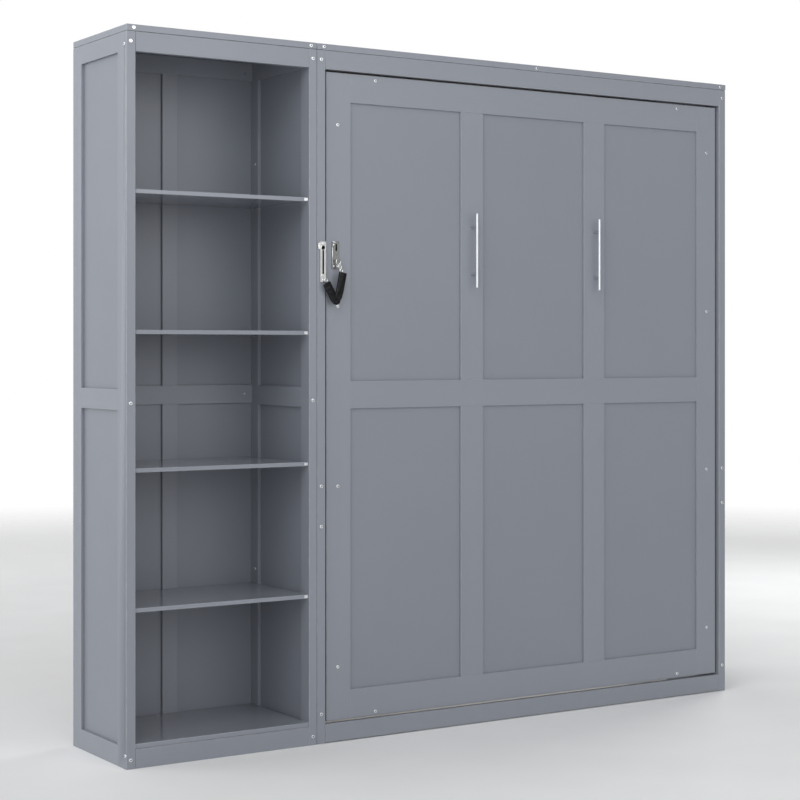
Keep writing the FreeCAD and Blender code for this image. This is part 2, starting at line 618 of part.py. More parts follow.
def build_door():
    y0, y1 = DOOR_SETBACK, DOOR_BACK
    g0 = y0 + DOOR_RECESS
    g1 = g0 + PANEL_THICK
    edge = GROOVE_DEPTH - PANEL_END_GAP
    grooves = []
    panels = []
    for x0, x1 in door_columns():
        for z0, z1 in door_rows():
            grooves.append(box(x0 - GROOVE_DEPTH, x1 + GROOVE_DEPTH, g0, g1,
                               z0 - GROOVE_DEPTH, z1 + GROOVE_DEPTH))
            panels.append(box(x0 - edge, x1 + edge, g0, g1, z0 - edge, z1 + edge))
    inner_left = DOOR_LEFT + DOOR_STILE
    inner_right = DOOR_RIGHT - DOOR_STILE
    rows = door_rows()
    stiles = [box(DOOR_LEFT, inner_left, y0, y1, DOOR_BOTTOM, DOOR_TOP),
              box(inner_right, DOOR_RIGHT, y0, y1, DOOR_BOTTOM, DOOR_TOP)]
    rails = [box(inner_left, inner_right, y0, y1, DOOR_BOTTOM, rows[0][0]),
             box(inner_left, inner_right, y0, y1, rows[0][1], rows[1][0]),
             box(inner_left, inner_right, y0, y1, rows[1][1], DOOR_TOP)]
    muntins = []
    for centre in muntin_centres():
        for z0, z1 in rows:
            muntins.append(box(centre - DOOR_MUNTIN / 2, centre + DOOR_MUNTIN / 2, y0, y1, z0, z1))
    tools = grooves + door_holes()
    write_node("door_stiles", [drilled(piece, tools) for piece in stiles])
    write_node("door_rails", [drilled(piece, tools) for piece in rails])
    write_node("door_muntins", [drilled(piece, tools) for piece in muntins])
    write_node("door_panels", panels)
    write_node("door_bolts", door_bolts())


def door_pull(x):
    """A round bar on two round posts."""
    bar = rod_z(x, PULL_Y, PULL_Z - PULL_LENGTH / 2, PULL_Z + PULL_LENGTH / 2, PULL_RADIUS)
    rims = [edge for edge in bar.Edges if edge.BoundBox.ZLength < TINY]
    bar = bar.makeChamfer(LEG_EDGE, rims)
    posts = [rod_y(x, PULL_Y, DOOR_SETBACK, PULL_Z + side * PULL_CENTRES / 2, PULL_POST_R)
             for side in (-1, 1)]
    return bar.fuse(posts)


def build_pulls():
    for name, x in zip(("pull_left", "pull_right"), muntin_centres()):
        write_node(name, [door_pull(x)])


# ---- bed frame ---------------------------------------------------------------------------
def build_bed_frame():
    holes = door_holes()
    rails = [box(x0, x1, DOOR_BACK, BED_RAIL_BACK, BED_HEAD_Z, BED_FOOT_Z)
             for x0, x1 in ((RAIL_OUTER_LEFT, RAIL_INNER_LEFT),
                            (RAIL_INNER_RIGHT, RAIL_OUTER_RIGHT))]
    write_node("bed_side_rails", [drilled(rail, holes) for rail in rails])
    ends = [box(RAIL_INNER_LEFT, RAIL_INNER_RIGHT, DOOR_BACK, BED_RAIL_BACK, z0, z1)
            for z0, z1 in ((BED_HEAD_Z, BED_HEAD_TOP), (BED_FOOT_BOTTOM, BED_FOOT_Z))]
    write_node("bed_end_rails", [drilled(rail, holes) for rail in ends])
    ledger_back = DOOR_BACK + LEDGER
    ledgers = [box(x0, x0 + LEDGER, DOOR_BACK, ledger_back, BED_HEAD_TOP, BED_FOOT_BOTTOM)
               for x0 in (RAIL_INNER_LEFT, RAIL_INNER_RIGHT - LEDGER)]
    write_node("slat_ledgers", ledgers)
    beam = box(BED_MIDDLE - LEDGER / 2, BED_MIDDLE + LEDGER / 2, DOOR_BACK, ledger_back,
               BED_HEAD_TOP, BED_FOOT_BOTTOM)
    write_node("centre_beam", [beam])
    write_node("slats", [slat(number) for number in range(SLAT_COUNT)])


def slat(number):
    """One cross slat, counted from the head end."""
    free = BED_FOOT_BOTTOM - BED_HEAD_TOP - SLAT_COUNT * SLAT_WIDTH
    pitch = SLAT_WIDTH + free / (SLAT_COUNT + 1)
    z0 = BED_HEAD_TOP + free / (SLAT_COUNT + 1) + number * pitch
    y0 = DOOR_BACK + LEDGER
    return box(RAIL_INNER_LEFT + SLAT_END_GAP, RAIL_INNER_RIGHT - SLAT_END_GAP,
               y0, y0 + SLAT_THICK, z0, z0 + SLAT_WIDTH)


# ---- hinge arms and gas struts -----------------------------------------------------------
def hinge_arm():
    """Steel plate on the left bed rail with the pivot pin and the strut stud."""
    x1 = RAIL_OUTER_LEFT
    x0 = x1 - PLATE_THICK
    outline = [(ARM_FRONT_Y, ARM_BOTTOM_Z), (ARM_BACK_Y - ARM_CORNER, ARM_BOTTOM_Z),
               (ARM_BACK_Y, ARM_BOTTOM_Z + ARM_CORNER), (ARM_BACK_Y, PIVOT_Z + ARM_SHOULDER),
               (ARM_BACK_Y - ARM_TOP_INSET, ARM_TOP_Z), (ARM_FRONT_Y, ARM_TOP_Z)]
    corners = [FreeCAD.Vector(x0, y, z) for y, z in outline + outline[:1]]
    plate = Part.Face(Part.makePolygon(corners)).extrude(FreeCAD.Vector(PLATE_THICK, 0, 0))
    pin = rod_x(BED_INNER_LEFT - PLATE_THICK + PIN_END_GAP, x0, PIVOT_Y, PIVOT_Z, PIN_R)
    eye_face = BED_INNER_LEFT + STRUT_AXIS_FROM_SIDE + EYE_THICK / 2 + OPEN_PIVOT_GAP
    stud = rod_x(eye_face, x0, STUD_Y, STUD_Z, EYE_STUD_R + COLLAR)
    return plate.fuse([pin, stud]).removeSplitter()


def strut_frame():
    """The strut's upper eye centre, its unit direction down to the bed stud, and its length."""
    x = BED_INNER_LEFT + STRUT_AXIS_FROM_SIDE
    top = FreeCAD.Vector(x, ANCHOR_Y, ANCHOR_Z)
    span = FreeCAD.Vector(x, STUD_Y, STUD_Z) - top
    length = span.Length
    return top, span.normalize(), length


def eye(centre):
    return rod_x(centre.x - EYE_THICK / 2, centre.x + EYE_THICK / 2, centre.y, centre.z, EYE_RADIUS)


def strut_cylinder():
    """Gas strut body: a tube closed at the top by its eye, open for the rod at the bottom."""
    top, along, _ = strut_frame()
    start = top + along * CYLINDER_START
    end = CYLINDER_END - CYLINDER_START
    tube = Part.makeCylinder(CYLINDER_R, end, start, along)
    bore_start = start + along * CYLINDER_NECK
    bore_length = end - CYLINDER_NECK - CYLINDER_CAP
    bore = Part.makeCylinder(CYLINDER_R - CYLINDER_WALL, bore_length, bore_start, along)
    seal_bore = Part.makeCylinder(ROD_R + RUNNING_GAP, end, bore_start, along)
    stud_hole = rod_x(top.x - EYE_THICK, top.x + EYE_THICK, top.y, top.z,
                      EYE_STUD_R + RUNNING_GAP)
    clear = EYE_THICK + CYLINDER_R
    flat = EYE_THICK / 2
    cheeks = [box(x0, x0 + clear, top.y - clear, top.y + clear,
                  top.z - EYE_RADIUS - EYE_CHEEK, top.z + clear)
              for x0 in (top.x - flat - clear, top.x + flat)]
    body = tube.fuse(eye(top)).cut([bore, seal_bore, stud_hole] + cheeks)
    return body.removeSplitter()


def strut_rod():
    """Piston rod with its piston in the tube and an eye on the bed's stud."""
    top, along, length = strut_frame()
    rod_end = top + along * length
    inside = top + along * (CYLINDER_END - ROD_IN_CYLINDER)
    reach = length - (CYLINDER_END - ROD_IN_CYLINDER) - ROD_INTO_EYE
    rod = Part.makeCylinder(ROD_R, reach, inside, along)
    piston_r = CYLINDER_R - CYLINDER_WALL - PISTON_GAP
    piston = Part.makeCylinder(piston_r, PISTON_LENGTH, inside, along)
    return rod.fuse([piston, eye(rod_end)]).removeSplitter()


def build_mechanism():
    write_node("hinge_arms", [hinge_arm(), mirrored(hinge_arm())])
    for side in ("left", "right"):
        cylinder = strut_cylinder()
        rod = strut_rod()
        if side == "right":
            cylinder = mirrored(cylinder)
            rod = mirrored(rod)
        write_node("strut_cylinder_" + side, [cylinder])
        write_node("strut_rod_" + side, [rod])


# ---- folding legs ------------------------------------------------------------------------
def leg_bar():
    """Flat steel leg in the gap beside the door, hanging from its pivot, left side."""
    x0 = BED_INNER_LEFT + LEG_FROM_SIDE
    x1 = x0 + LEG_THICK
    half = LEG_WIDTH / 2
    bottom = LEG_PIVOT_Z - LEG_REACH + FOOT_PROUD
    bar = box(x0, x1, LEG_PIVOT_Y - half, LEG_PIVOT_Y + half, bottom, LEG_PIVOT_Z)
    bar = bar.fuse(rod_x(x0, x1, LEG_PIVOT_Y, LEG_PIVOT_Z, half))
    bore = rod_x(x0, x1, LEG_PIVOT_Y, LEG_PIVOT_Z, LEG_PIN_R + RUNNING_GAP)
    return bar.cut(bore).removeSplitter()


def leg_foot():
    """Rubber cap over the free end of the leg."""
    x0 = BED_INNER_LEFT + LEG_FROM_SIDE
    half = LEG_WIDTH / 2
    bottom = LEG_PIVOT_Z - LEG_REACH
    cap = box(x0 - FOOT_PROUD, x0 + LEG_THICK + FOOT_PROUD, LEG_PIVOT_Y - half - FOOT_PROUD,
              LEG_PIVOT_Y + half + FOOT_PROUD, bottom, bottom + FOOT_HEIGHT)
    return cap.cut(leg_bar())


def leg_block():
    """Wooden block that fills the space between the bed rail and the leg."""
    block = box(DOOR_LEFT, RAIL_OUTER_LEFT, DOOR_BACK, DOOR_BACK + LEG_BLOCK_DEPTH,
                LEG_BLOCK_BOTTOM, BED_FOOT_BOTTOM)
    hole = rod_x(DOOR_LEFT, RAIL_OUTER_LEFT - LEG_HOLE_STOP, LEG_PIVOT_Y, LEG_PIVOT_Z,
                 LEG_PIN_R + RUNNING_GAP)
    return block.cut(hole)


def leg_pivot():
    """Shoulder bolt through the leg into the block, with its spacer washer."""
    leg_x0 = BED_INNER_LEFT + LEG_FROM_SIDE
    leg_x1 = leg_x0 + LEG_THICK
    gap = RUNNING_GAP
    head = rod_x(leg_x0 - gap - LEG_PIN_HEAD, leg_x0 - gap, LEG_PIVOT_Y, LEG_PIVOT_Z,
                 LEG_PIN_HEAD_R)
    shank = rod_x(leg_x0 - gap, RAIL_OUTER_LEFT - LEG_PIN_STOP, LEG_PIVOT_Y, LEG_PIVOT_Z, LEG_PIN_R)
    washer = rod_x(leg_x1 + gap, DOOR_LEFT, LEG_PIVOT_Y, LEG_PIVOT_Z, LEG_PIN_HEAD_R)
    return head.fuse([shank, washer]).removeSplitter()


def build_legs():
    for side in ("left", "right"):
        bar = leg_bar()
        foot = leg_foot()
        if side == "right":
            bar = mirrored(bar)
            foot = mirrored(foot)
        write_node("leg_" + side, [bar])
        write_node("leg_foot_" + side, [foot])
    write_node("leg_blocks", [leg_block(), mirrored(leg_block())])
    write_node("leg_pivots", [leg_pivot(), mirrored(leg_pivot())])


# ---- door guard: plate, chain and sleeve that go down with the bed -------------------------
def guard_plate():
    """Anchor plate on the door's left stile with its headed swivel post."""
    y1 = DOOR_SETBACK
    y0 = y1 - GUARD_PLATE_THICK
    x0, x1 = ANCHOR_PLATE_X, ANCHOR_PLATE_X + ANCHOR_PLATE_WIDTH
    middle = (x0 + x1) / 2
    plate = box(x0, x1, y0, y1, ANCHOR_PLATE_BOTTOM, ANCHOR_PLATE_TOP)
    slot = box(middle, middle + 2 * PLATE_SLOT_HALF, y0, y1 - PLATE_SLOT_FLOOR,
               PLATE_SLOT_BOTTOM, PLATE_SLOT_TOP)
    post = rod_y(middle, SWIVEL_Y, y0, SWIVEL_Z, SWIVEL_R)
    head = rod_y(middle, SWIVEL_Y - SWIVEL_HEAD, SWIVEL_Y, SWIVEL_Z, SWIVEL_HEAD_R)
    return plate.cut(slot).fuse([post, head]).removeSplitter()


# Middle line of the chain's flat sleeve as (x, z): from the track round the fold to the plate.
SLEEVE_ROUTE = [(691.0, 1475.0), (706.0, 1446.0), (723.0, 1423.0), (737.0, 1446.0),
                (749.0, 1511.0)]


def chain_sleeve():
    """Soft sleeve over the chain: flat straight lengths joined by round corners."""
    pieces = []
    depth = FreeCAD.Vector(0, SLEEVE_BACK - SLEEVE_FRONT, 0)
    for (x0, z0), (x1, z1) in zip(SLEEVE_ROUTE, SLEEVE_ROUTE[1:]):
        start = FreeCAD.Vector(x0, SLEEVE_FRONT, z0)
        end = FreeCAD.Vector(x1, SLEEVE_FRONT, z1)
        side = (end - start).cross(Y_AXIS).normalize() * SLEEVE_HALF
        outline = [start + side, end + side, end - side, start - side, start + side]
        pieces.append(Part.Face(Part.makePolygon(outline)).extrude(depth))
    corners = [rod_y(x, SLEEVE_FRONT, SLEEVE_BACK, z, SLEEVE_HALF)
               for x, z in SLEEVE_ROUTE[1:-1]]
    return pieces[0].fuse(pieces[1:] + corners).removeSplitter()


def chain_link(x, y, z, radius=LINK_RADIUS, sideways=False, lean=0.0):
    """One round link that faces forward or sideways, leaning with the chain's run."""
    ring = Part.makeTorus(radius, LINK_WIRE_R, FreeCAD.Vector(0, 0, 0), Y_AXIS)
    if sideways:
        ring.rotate(FreeCAD.Vector(0, 0, 0), Z_AXIS, 90)
    ring.rotate(FreeCAD.Vector(0, 0, 0), Y_AXIS, lean)
    ring.translate(FreeCAD.Vector(x, y, z))
    return ring


def hanging_chain():
    """The swivel post's ring and the links that run down from it towards the sleeve."""
    x0 = ANCHOR_PLATE_X + ANCHOR_PLATE_WIDTH / 2
    z0 = SWIVEL_Z - (SWIVEL_RING_R - LINK_WIRE_R - SWIVEL_R)
    end_x, end_z = SLEEVE_ROUTE[-1]
    run = math.hypot(end_x - x0, end_z - z0)
    along_x = (end_x - x0) / run
    along_z = (end_z - z0) / run
    lean = -math.degrees(math.asin(along_x))
    links = [chain_link(x0, CHAIN_Y, z0, SWIVEL_RING_R, lean=lean)]
    far = SWIVEL_RING_R + LINK_RADIUS - 2 * LINK_WIRE_R - LINK_PLAY
    for number in range(LINKS):
        links.append(chain_link(x0 + far * along_x, CHAIN_Y, z0 + far * along_z,
                                sideways=number % 2 == 0, lean=lean))
        far += 2 * (LINK_RADIUS - LINK_WIRE_R) - LINK_PLAY
    return links


def guard_chain():
    """The hanging chain, and the slider and its link at the track."""
    slider = rod_y(TRACK_X + TRACK_WIDTH / 2, SLIDER_FRONT, SLIDER_BACK, SLIDER_Z, SLIDER_R)
    link_x, link_z = SLIDER_LINK
    return hanging_chain() + [slider, chain_link(link_x, SLIDER_FRONT - LINK_WIRE_R, link_z)]


def build_guard():
    write_node("guard_plate", [guard_plate()])
    write_node("guard_sleeve", [chain_sleeve()])
    write_node("guard_chain", guard_chain())


def main():
    os.makedirs("parts", exist_ok=True)
    build_shelf_unit()
    build_bed_cabinet()
    build_door()
    build_pulls()
    build_bed_frame()
    build_mechanism()
    build_legs()
    build_guard()


main()
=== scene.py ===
import json
import math
import random

import bmesh
import bpy
from mathutils import Matrix, Vector

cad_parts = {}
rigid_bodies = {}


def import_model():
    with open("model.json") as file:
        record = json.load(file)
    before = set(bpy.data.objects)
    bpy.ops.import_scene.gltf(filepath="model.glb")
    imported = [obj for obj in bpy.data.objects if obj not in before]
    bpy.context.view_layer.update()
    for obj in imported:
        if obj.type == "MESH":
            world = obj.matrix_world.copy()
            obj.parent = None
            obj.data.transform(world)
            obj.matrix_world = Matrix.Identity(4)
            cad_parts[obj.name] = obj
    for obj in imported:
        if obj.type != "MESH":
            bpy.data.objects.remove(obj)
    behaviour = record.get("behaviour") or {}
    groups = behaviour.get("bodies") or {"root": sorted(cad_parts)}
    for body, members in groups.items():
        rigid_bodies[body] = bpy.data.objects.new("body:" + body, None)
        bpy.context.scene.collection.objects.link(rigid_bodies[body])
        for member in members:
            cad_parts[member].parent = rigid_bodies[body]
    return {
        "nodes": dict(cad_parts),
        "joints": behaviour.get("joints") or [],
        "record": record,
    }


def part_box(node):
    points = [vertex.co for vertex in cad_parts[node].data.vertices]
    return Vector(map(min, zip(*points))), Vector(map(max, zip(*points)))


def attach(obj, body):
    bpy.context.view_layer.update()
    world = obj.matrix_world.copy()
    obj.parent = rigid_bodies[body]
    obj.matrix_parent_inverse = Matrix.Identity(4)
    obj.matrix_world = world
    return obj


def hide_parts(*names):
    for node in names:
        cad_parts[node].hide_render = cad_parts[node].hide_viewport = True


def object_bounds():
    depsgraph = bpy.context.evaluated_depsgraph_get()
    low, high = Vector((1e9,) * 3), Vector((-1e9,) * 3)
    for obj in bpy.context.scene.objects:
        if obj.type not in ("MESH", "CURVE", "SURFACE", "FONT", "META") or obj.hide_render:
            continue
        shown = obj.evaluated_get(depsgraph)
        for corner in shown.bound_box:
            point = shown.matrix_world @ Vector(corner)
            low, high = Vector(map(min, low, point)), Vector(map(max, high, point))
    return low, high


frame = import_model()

# Murphy wall bed with a side shelf unit: materials, rounded edges and small fittings around
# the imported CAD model. Everything is in metres in the row frame: x to the right, y to the
# back, z up from the floor.

cad_lo, cad_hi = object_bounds()
scene = bpy.context.scene
NODES = frame["nodes"]
MM = 0.001


# ---- camera ----------------------------------------------------------------------------
# The camera stands level, left of the object, as shares of the object's height from the
# shelf unit's front left corner.
CAMERA_LEFT = 1.03668
CAMERA_FRONT = 2.29035
CAMERA_HEIGHT = 0.5640
CAMERA_TURN = math.radians(-32.731)
CAMERA_LENS = 83.59
CAMERA_SHIFT = -0.0639
SENSOR_WIDTH = 36.0


def add_camera():
    """The camera at the photograph's viewing angle."""
    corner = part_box("shelf_left_stiles")[0]
    height = cad_hi.z
    data = bpy.data.cameras.new("camera")
    data.sensor_width = SENSOR_WIDTH
    data.lens = CAMERA_LENS
    data.shift_y = CAMERA_SHIFT
    camera = bpy.data.objects.new("camera", data)
    camera.location = (corner.x - CAMERA_LEFT * height,
                       corner.y - CAMERA_FRONT * height,
                       CAMERA_HEIGHT * height)
    camera.rotation_euler = (math.radians(90), 0, CAMERA_TURN)
    scene.collection.objects.link(camera)
    scene.camera = camera


# ---- material helpers ------------------------------------------------------------------
def new_material(name):
    material = bpy.data.materials.new(name)
    material.use_nodes = True
    tree = material.node_tree
    return material, tree, tree.nodes["Principled BSDF"]


def add_node(tree, kind, inputs=None, **settings):
    """A shader node; its inputs are values, or output sockets to link from."""
    node = tree.nodes.new(kind)
    for key, value in settings.items():
        setattr(node, key, value)
    for key, value in (inputs or {}).items():
        if isinstance(value, bpy.types.NodeSocket):
            tree.links.new(value, node.inputs[key])
        else:
            node.inputs[key].default_value = value
    return node


def attribute(tree, name, output):
    return add_node(tree, "ShaderNodeAttribute", attribute_name=name).outputs[output]


def row_frame(tree):
    return add_node(tree, "ShaderNodeTexCoord").outputs["Object"]


def scaled(tree, vector, scale):
    node = add_node(tree, "ShaderNodeMapping", {"Vector": vector, "Scale": scale})
    return node.outputs["Vector"]


def noise(tree, vector, scale, detail=3.0, roughness=0.5):
    inputs = {"Vector": vector, "Scale": scale, "Detail": detail, "Roughness": roughness}
    return add_node(tree, "ShaderNodeTexNoise", inputs).outputs["Fac"]


def ranged(tree, value, low, high, to_low, to_high):
    inputs = {"Value": value, "From Min": low, "From Max": high,
              "To Min": to_low, "To Max": to_high}
    return add_node(tree, "ShaderNodeMapRange", inputs).outputs["Result"]


def calculated(tree, operation, first, second):
    node = add_node(tree, "ShaderNodeMath", {0: first, 1: second}, operation=operation)
    return node.outputs[0]


# Sockets of a Mix node that mixes colours. Their names are shared with its other kinds.
MIX_FACTOR = 0
MIX_FIRST = 6
MIX_SECOND = 7
MIX_RESULT = 2


def blended(tree, factor, first, second):
    """Mix of two colours by a factor."""
    node = add_node(tree, "ShaderNodeMix", data_type="RGBA")
    for index, value in ((MIX_FACTOR, factor), (MIX_FIRST, first), (MIX_SECOND, second)):
        if isinstance(value, bpy.types.NodeSocket):
            tree.links.new(value, node.inputs[index])
        else:
            node.inputs[index].default_value = value
    return node.outputs[MIX_RESULT]


def shaded(tree, colour, value):
    """A colour made lighter or darker by a value around 1."""
    inputs = {"Color": colour, "Value": value}
    return add_node(tree, "ShaderNodeHueSaturation", inputs).outputs["Color"]


def bump(tree, height, strength, distance, under=None):
    inputs = {"Height": height, "Strength": strength, "Distance": distance}
    if under is not None:
        inputs["Normal"] = under
    return add_node(tree, "ShaderNodeBump", inputs).outputs["Normal"]


# ---- materials -------------------------------------------------------------------------
PAINT = (0.236, 0.250, 0.284, 1.0)
# A little darker than the frames' paint, partly as painted shade of the recessed fields.
PANEL_PAINT_PARTLY_SHADED = (0.218, 0.232, 0.266, 1.0)
# A lighter paint colour, used as a painted highlight along the rounded edges.
PAINT_EDGE_HIGHLIGHT = (0.36, 0.375, 0.41, 1.0)


def painted_wood(name, colour, grain_height, open_grain, gloss):
    """Satin paint rolled over wood: grain that shows through, orange peel, and a painted highlight
    on the rounded edges.
    """
    material, tree, shader = new_material(name)
    grain = attribute(tree, "grain", "Vector")
    tone = attribute(tree, "tone", "Fac")
    edge = attribute(tree, "edge", "Fac")
    place = row_frame(tree)
    mottle = noise(tree, place, 2.2, 4.0, 0.55)
    streak = noise(tree, scaled(tree, grain, (1.4, 42.0, 42.0)), 1.0, 4.0, 0.6)
    fibres = noise(tree, scaled(tree, grain, (9.0, 420.0, 420.0)), 1.0, 3.0, 0.6)
    shade = 0.05 * open_grain
    value = calculated(tree, "ADD", ranged(tree, mottle, 0.3, 0.7, 0.985, 1.015),
                       ranged(tree, streak, 0.25, 0.75, -shade, shade))
    value = calculated(tree, "ADD", value, ranged(tree, fibres, 0.3, 0.7, -shade, shade))
    value = calculated(tree, "ADD", value, tone)
    body = shaded(tree, colour, value)
    # Painted highlight: the rounded edges are mixed, in patches, towards the lighter paint colour.
    rub_and_highlight = noise(tree, place, 30.0, 5.0, 0.65)
    edge_highlight = calculated(tree, "MULTIPLY", edge, ranged(tree, rub_and_highlight, 0.42, 0.68, 0.12, 0.75))
    tree.links.new(blended(tree, edge_highlight, body, PAINT_EDGE_HIGHLIGHT), shader.inputs["Base Color"])
    patches = noise(tree, place, 7.0, 3.0)
    rough = ranged(tree, patches, 0.3, 0.7, gloss - 0.03, gloss + 0.04)
    tree.links.new(rough, shader.inputs["Roughness"])
    peel = noise(tree, place, 620.0, 2.0)
    relief = bump(tree, streak, open_grain, grain_height)
    relief = bump(tree, fibres, open_grain, grain_height * 0.35, relief)
    relief = bump(tree, peel, 0.35, 0.00006, relief)
    tree.links.new(relief, shader.inputs["Normal"])
    shader.inputs["Specular IOR Level"].default_value = 0.45
    shader.inputs["Coat Weight"].default_value = 0.12
    shader.inputs["Coat Roughness"].default_value = 0.32
    return material


def bare_pine(name):
    """Planed pine: growth rings along each board, darker late wood, fine fibres."""
    material, tree, shader = new_material(name)
    grain = attribute(tree, "grain", "Vector")
    tone = attribute(tree, "tone", "Fac")
    stretched = scaled(tree, grain, (0.9, 13.0, 13.0))
    drift = noise(tree, stretched, 1.0, 3.0, 0.55)
    rings = add_node(tree, "ShaderNodeTexWave",
                     {"Vector": scaled(tree, grain, (0.35, 22.0, 9.0)), "Scale": 1.0,
                      "Distortion": 7.0, "Detail": 2.5, "Detail Scale": 0.8},
                     wave_type="RINGS", rings_direction="X").outputs["Fac"]
    fibres = noise(tree, scaled(tree, grain, (14.0, 700.0, 700.0)), 1.0, 3.0, 0.6)
    knots = add_node(tree, "ShaderNodeTexVoronoi",
                     {"Vector": scaled(tree, grain, (2.3, 9.0, 9.0)), "Scale": 1.0,
                      "Randomness": 1.0}).outputs["Distance"]
    light = blended(tree, drift, (0.66, 0.47, 0.27, 1.0), (0.74, 0.56, 0.35, 1.0))
    late = ranged(tree, rings, 0.55, 1.0, 0.0, 0.55)
    wood = blended(tree, late, light, (0.47, 0.28, 0.125, 1.0))
    knot = ranged(tree, knots, 0.04, 0.13, 0.85, 0.0)
    wood = blended(tree, knot, wood, (0.20, 0.095, 0.04, 1.0))
    value = calculated(tree, "ADD", ranged(tree, fibres, 0.3, 0.7, 0.94, 1.05), tone)
    tree.links.new(shaded(tree, wood, value), shader.inputs["Base Color"])
    tree.links.new(ranged(tree, fibres, 0.3, 0.7, 0.5, 0.66), shader.inputs["Roughness"])
    relief = bump(tree, rings, 0.25, 0.0002)
    relief = bump(tree, fibres, 0.4, 0.00012, relief)
    tree.links.new(relief, shader.inputs["Normal"])
    return material


RECESS_SHADE = 0.04


def plated_steel(name, colour, roughness, scratch_scale, tarnish):
    """Bright metal, scratched and unevenly plated, with painted shade darkening its recessed
    faces.
    """
    material, tree, shader = new_material(name)
    place = row_frame(tree)
    cloud = noise(tree, place, 60.0, 4.0, 0.6)
    lines = noise(tree, scaled(tree, place, scratch_scale), 1.0, 3.0, 0.65)
    value = calculated(tree, "ADD", ranged(tree, cloud, 0.3, 0.7, 1.0 - tarnish, 1.0 + tarnish),
                       ranged(tree, lines, 0.3, 0.7, -0.05, 0.05))
    # Painted shade: faces marked as inside a socket, channel or slot get a nearly black colour.
    recess = attribute(tree, "recess", "Fac")
    value = calculated(tree, "MULTIPLY", value, ranged(tree, recess, 0.0, 1.0, 1.0, RECESS_SHADE))
    tree.links.new(shaded(tree, colour, value), shader.inputs["Base Color"])
    rough = ranged(tree, lines, 0.25, 0.75, roughness * 0.75, roughness * 1.3)
    tree.links.new(rough, shader.inputs["Roughness"])
    tree.links.new(bump(tree, lines, 0.3, 0.00004), shader.inputs["Normal"])
    shader.inputs["Metallic"].default_value = 1.0
    return material


def coated_steel(name, colour, roughness, texture_scale, texture_height):
    """Powder coat or enamel: fine pebbled skin over a dark colour, worn a little lighter."""
    material, tree, shader = new_material(name)
    place = row_frame(tree)
    pebble = noise(tree, place, texture_scale, 2.0, 0.5)
    cloud = noise(tree, place, 18.0, 4.0, 0.6)
    value = calculated(tree, "ADD", ranged(tree, cloud, 0.3, 0.7, 0.88, 1.12),
                       ranged(tree, pebble, 0.35, 0.65, -0.07, 0.07))
    tree.links.new(shaded(tree, colour, value), shader.inputs["Base Color"])
    rough = ranged(tree, cloud, 0.3, 0.7, roughness * 0.85, roughness * 1.15)
    tree.links.new(rough, shader.inputs["Roughness"])
    tree.links.new(bump(tree, pebble, 0.5, texture_height), shader.inputs["Normal"])
    return material


def black_rubber(name):
    material, tree, shader = new_material(name)
    place = row_frame(tree)
    speckle = noise(tree, place, 900.0, 3.0, 0.6)
    dust = noise(tree, place, 45.0, 4.0, 0.6)
    value = calculated(tree, "ADD", ranged(tree, dust, 0.35, 0.75, 0.85, 1.5),
                       ranged(tree, speckle, 0.3, 0.7, -0.12, 0.12))
    colour = (0.028, 0.028, 0.029, 1.0)
    tree.links.new(shaded(tree, colour, value), shader.inputs["Base Color"])
    tree.links.new(ranged(tree, dust, 0.3, 0.7, 0.62, 0.8), shader.inputs["Roughness"])
    tree.links.new(bump(tree, speckle, 0.4, 0.0001), shader.inputs["Normal"])
    return material


def black_leather(name):
    """Polished black leather: pebbled cells, creases and dull rubbed spots."""
    material, tree, shader = new_material(name)
    place = row_frame(tree)
    cells = add_node(tree, "ShaderNodeTexVoronoi", {"Vector": place, "Scale": 720.0},
                     feature="DISTANCE_TO_EDGE").outputs["Distance"]
    crease = noise(tree, place, 130.0, 5.0, 0.65)
    rub_and_highlight = noise(tree, place, 55.0, 4.0, 0.6)
    value = ranged(tree, rub_and_highlight, 0.35, 0.75, 0.8, 1.7)
    colour = (0.006, 0.006, 0.007, 1.0)
    tree.links.new(shaded(tree, colour, value), shader.inputs["Base Color"])
    tree.links.new(ranged(tree, rub_and_highlight, 0.3, 0.7, 0.24, 0.42), shader.inputs["Roughness"])
    relief = bump(tree, ranged(tree, cells, 0.0, 0.12, 0.0, 1.0), 0.5, 0.00018)
    relief = bump(tree, crease, 0.4, 0.0005, relief)
    tree.links.new(relief, shader.inputs["Normal"])
    shader.inputs["Specular IOR Level"].default_value = 0.10
    shader.inputs["Coat Weight"].default_value = 0.10
    shader.inputs["Coat Roughness"].default_value = 0.08
    return material


def thread(name):
    material, tree, shader = new_material(name)
    twist = add_node(tree, "ShaderNodeTexWave",
                     {"Vector": row_frame(tree), "Scale": 900.0, "Distortion": 1.5},
                     bands_direction="DIAGONAL").outputs["Fac"]
    colour = blended(tree, twist, (0.035, 0.035, 0.037, 1.0), (0.11, 0.11, 0.115, 1.0))
    tree.links.new(colour, shader.inputs["Base Color"])
    tree.links.new(ranged(tree, twist, 0.0, 1.0, 0.55, 0.75), shader.inputs["Roughness"])
    tree.links.new(bump(tree, twist, 0.5, 0.00008), shader.inputs["Normal"])
    return material


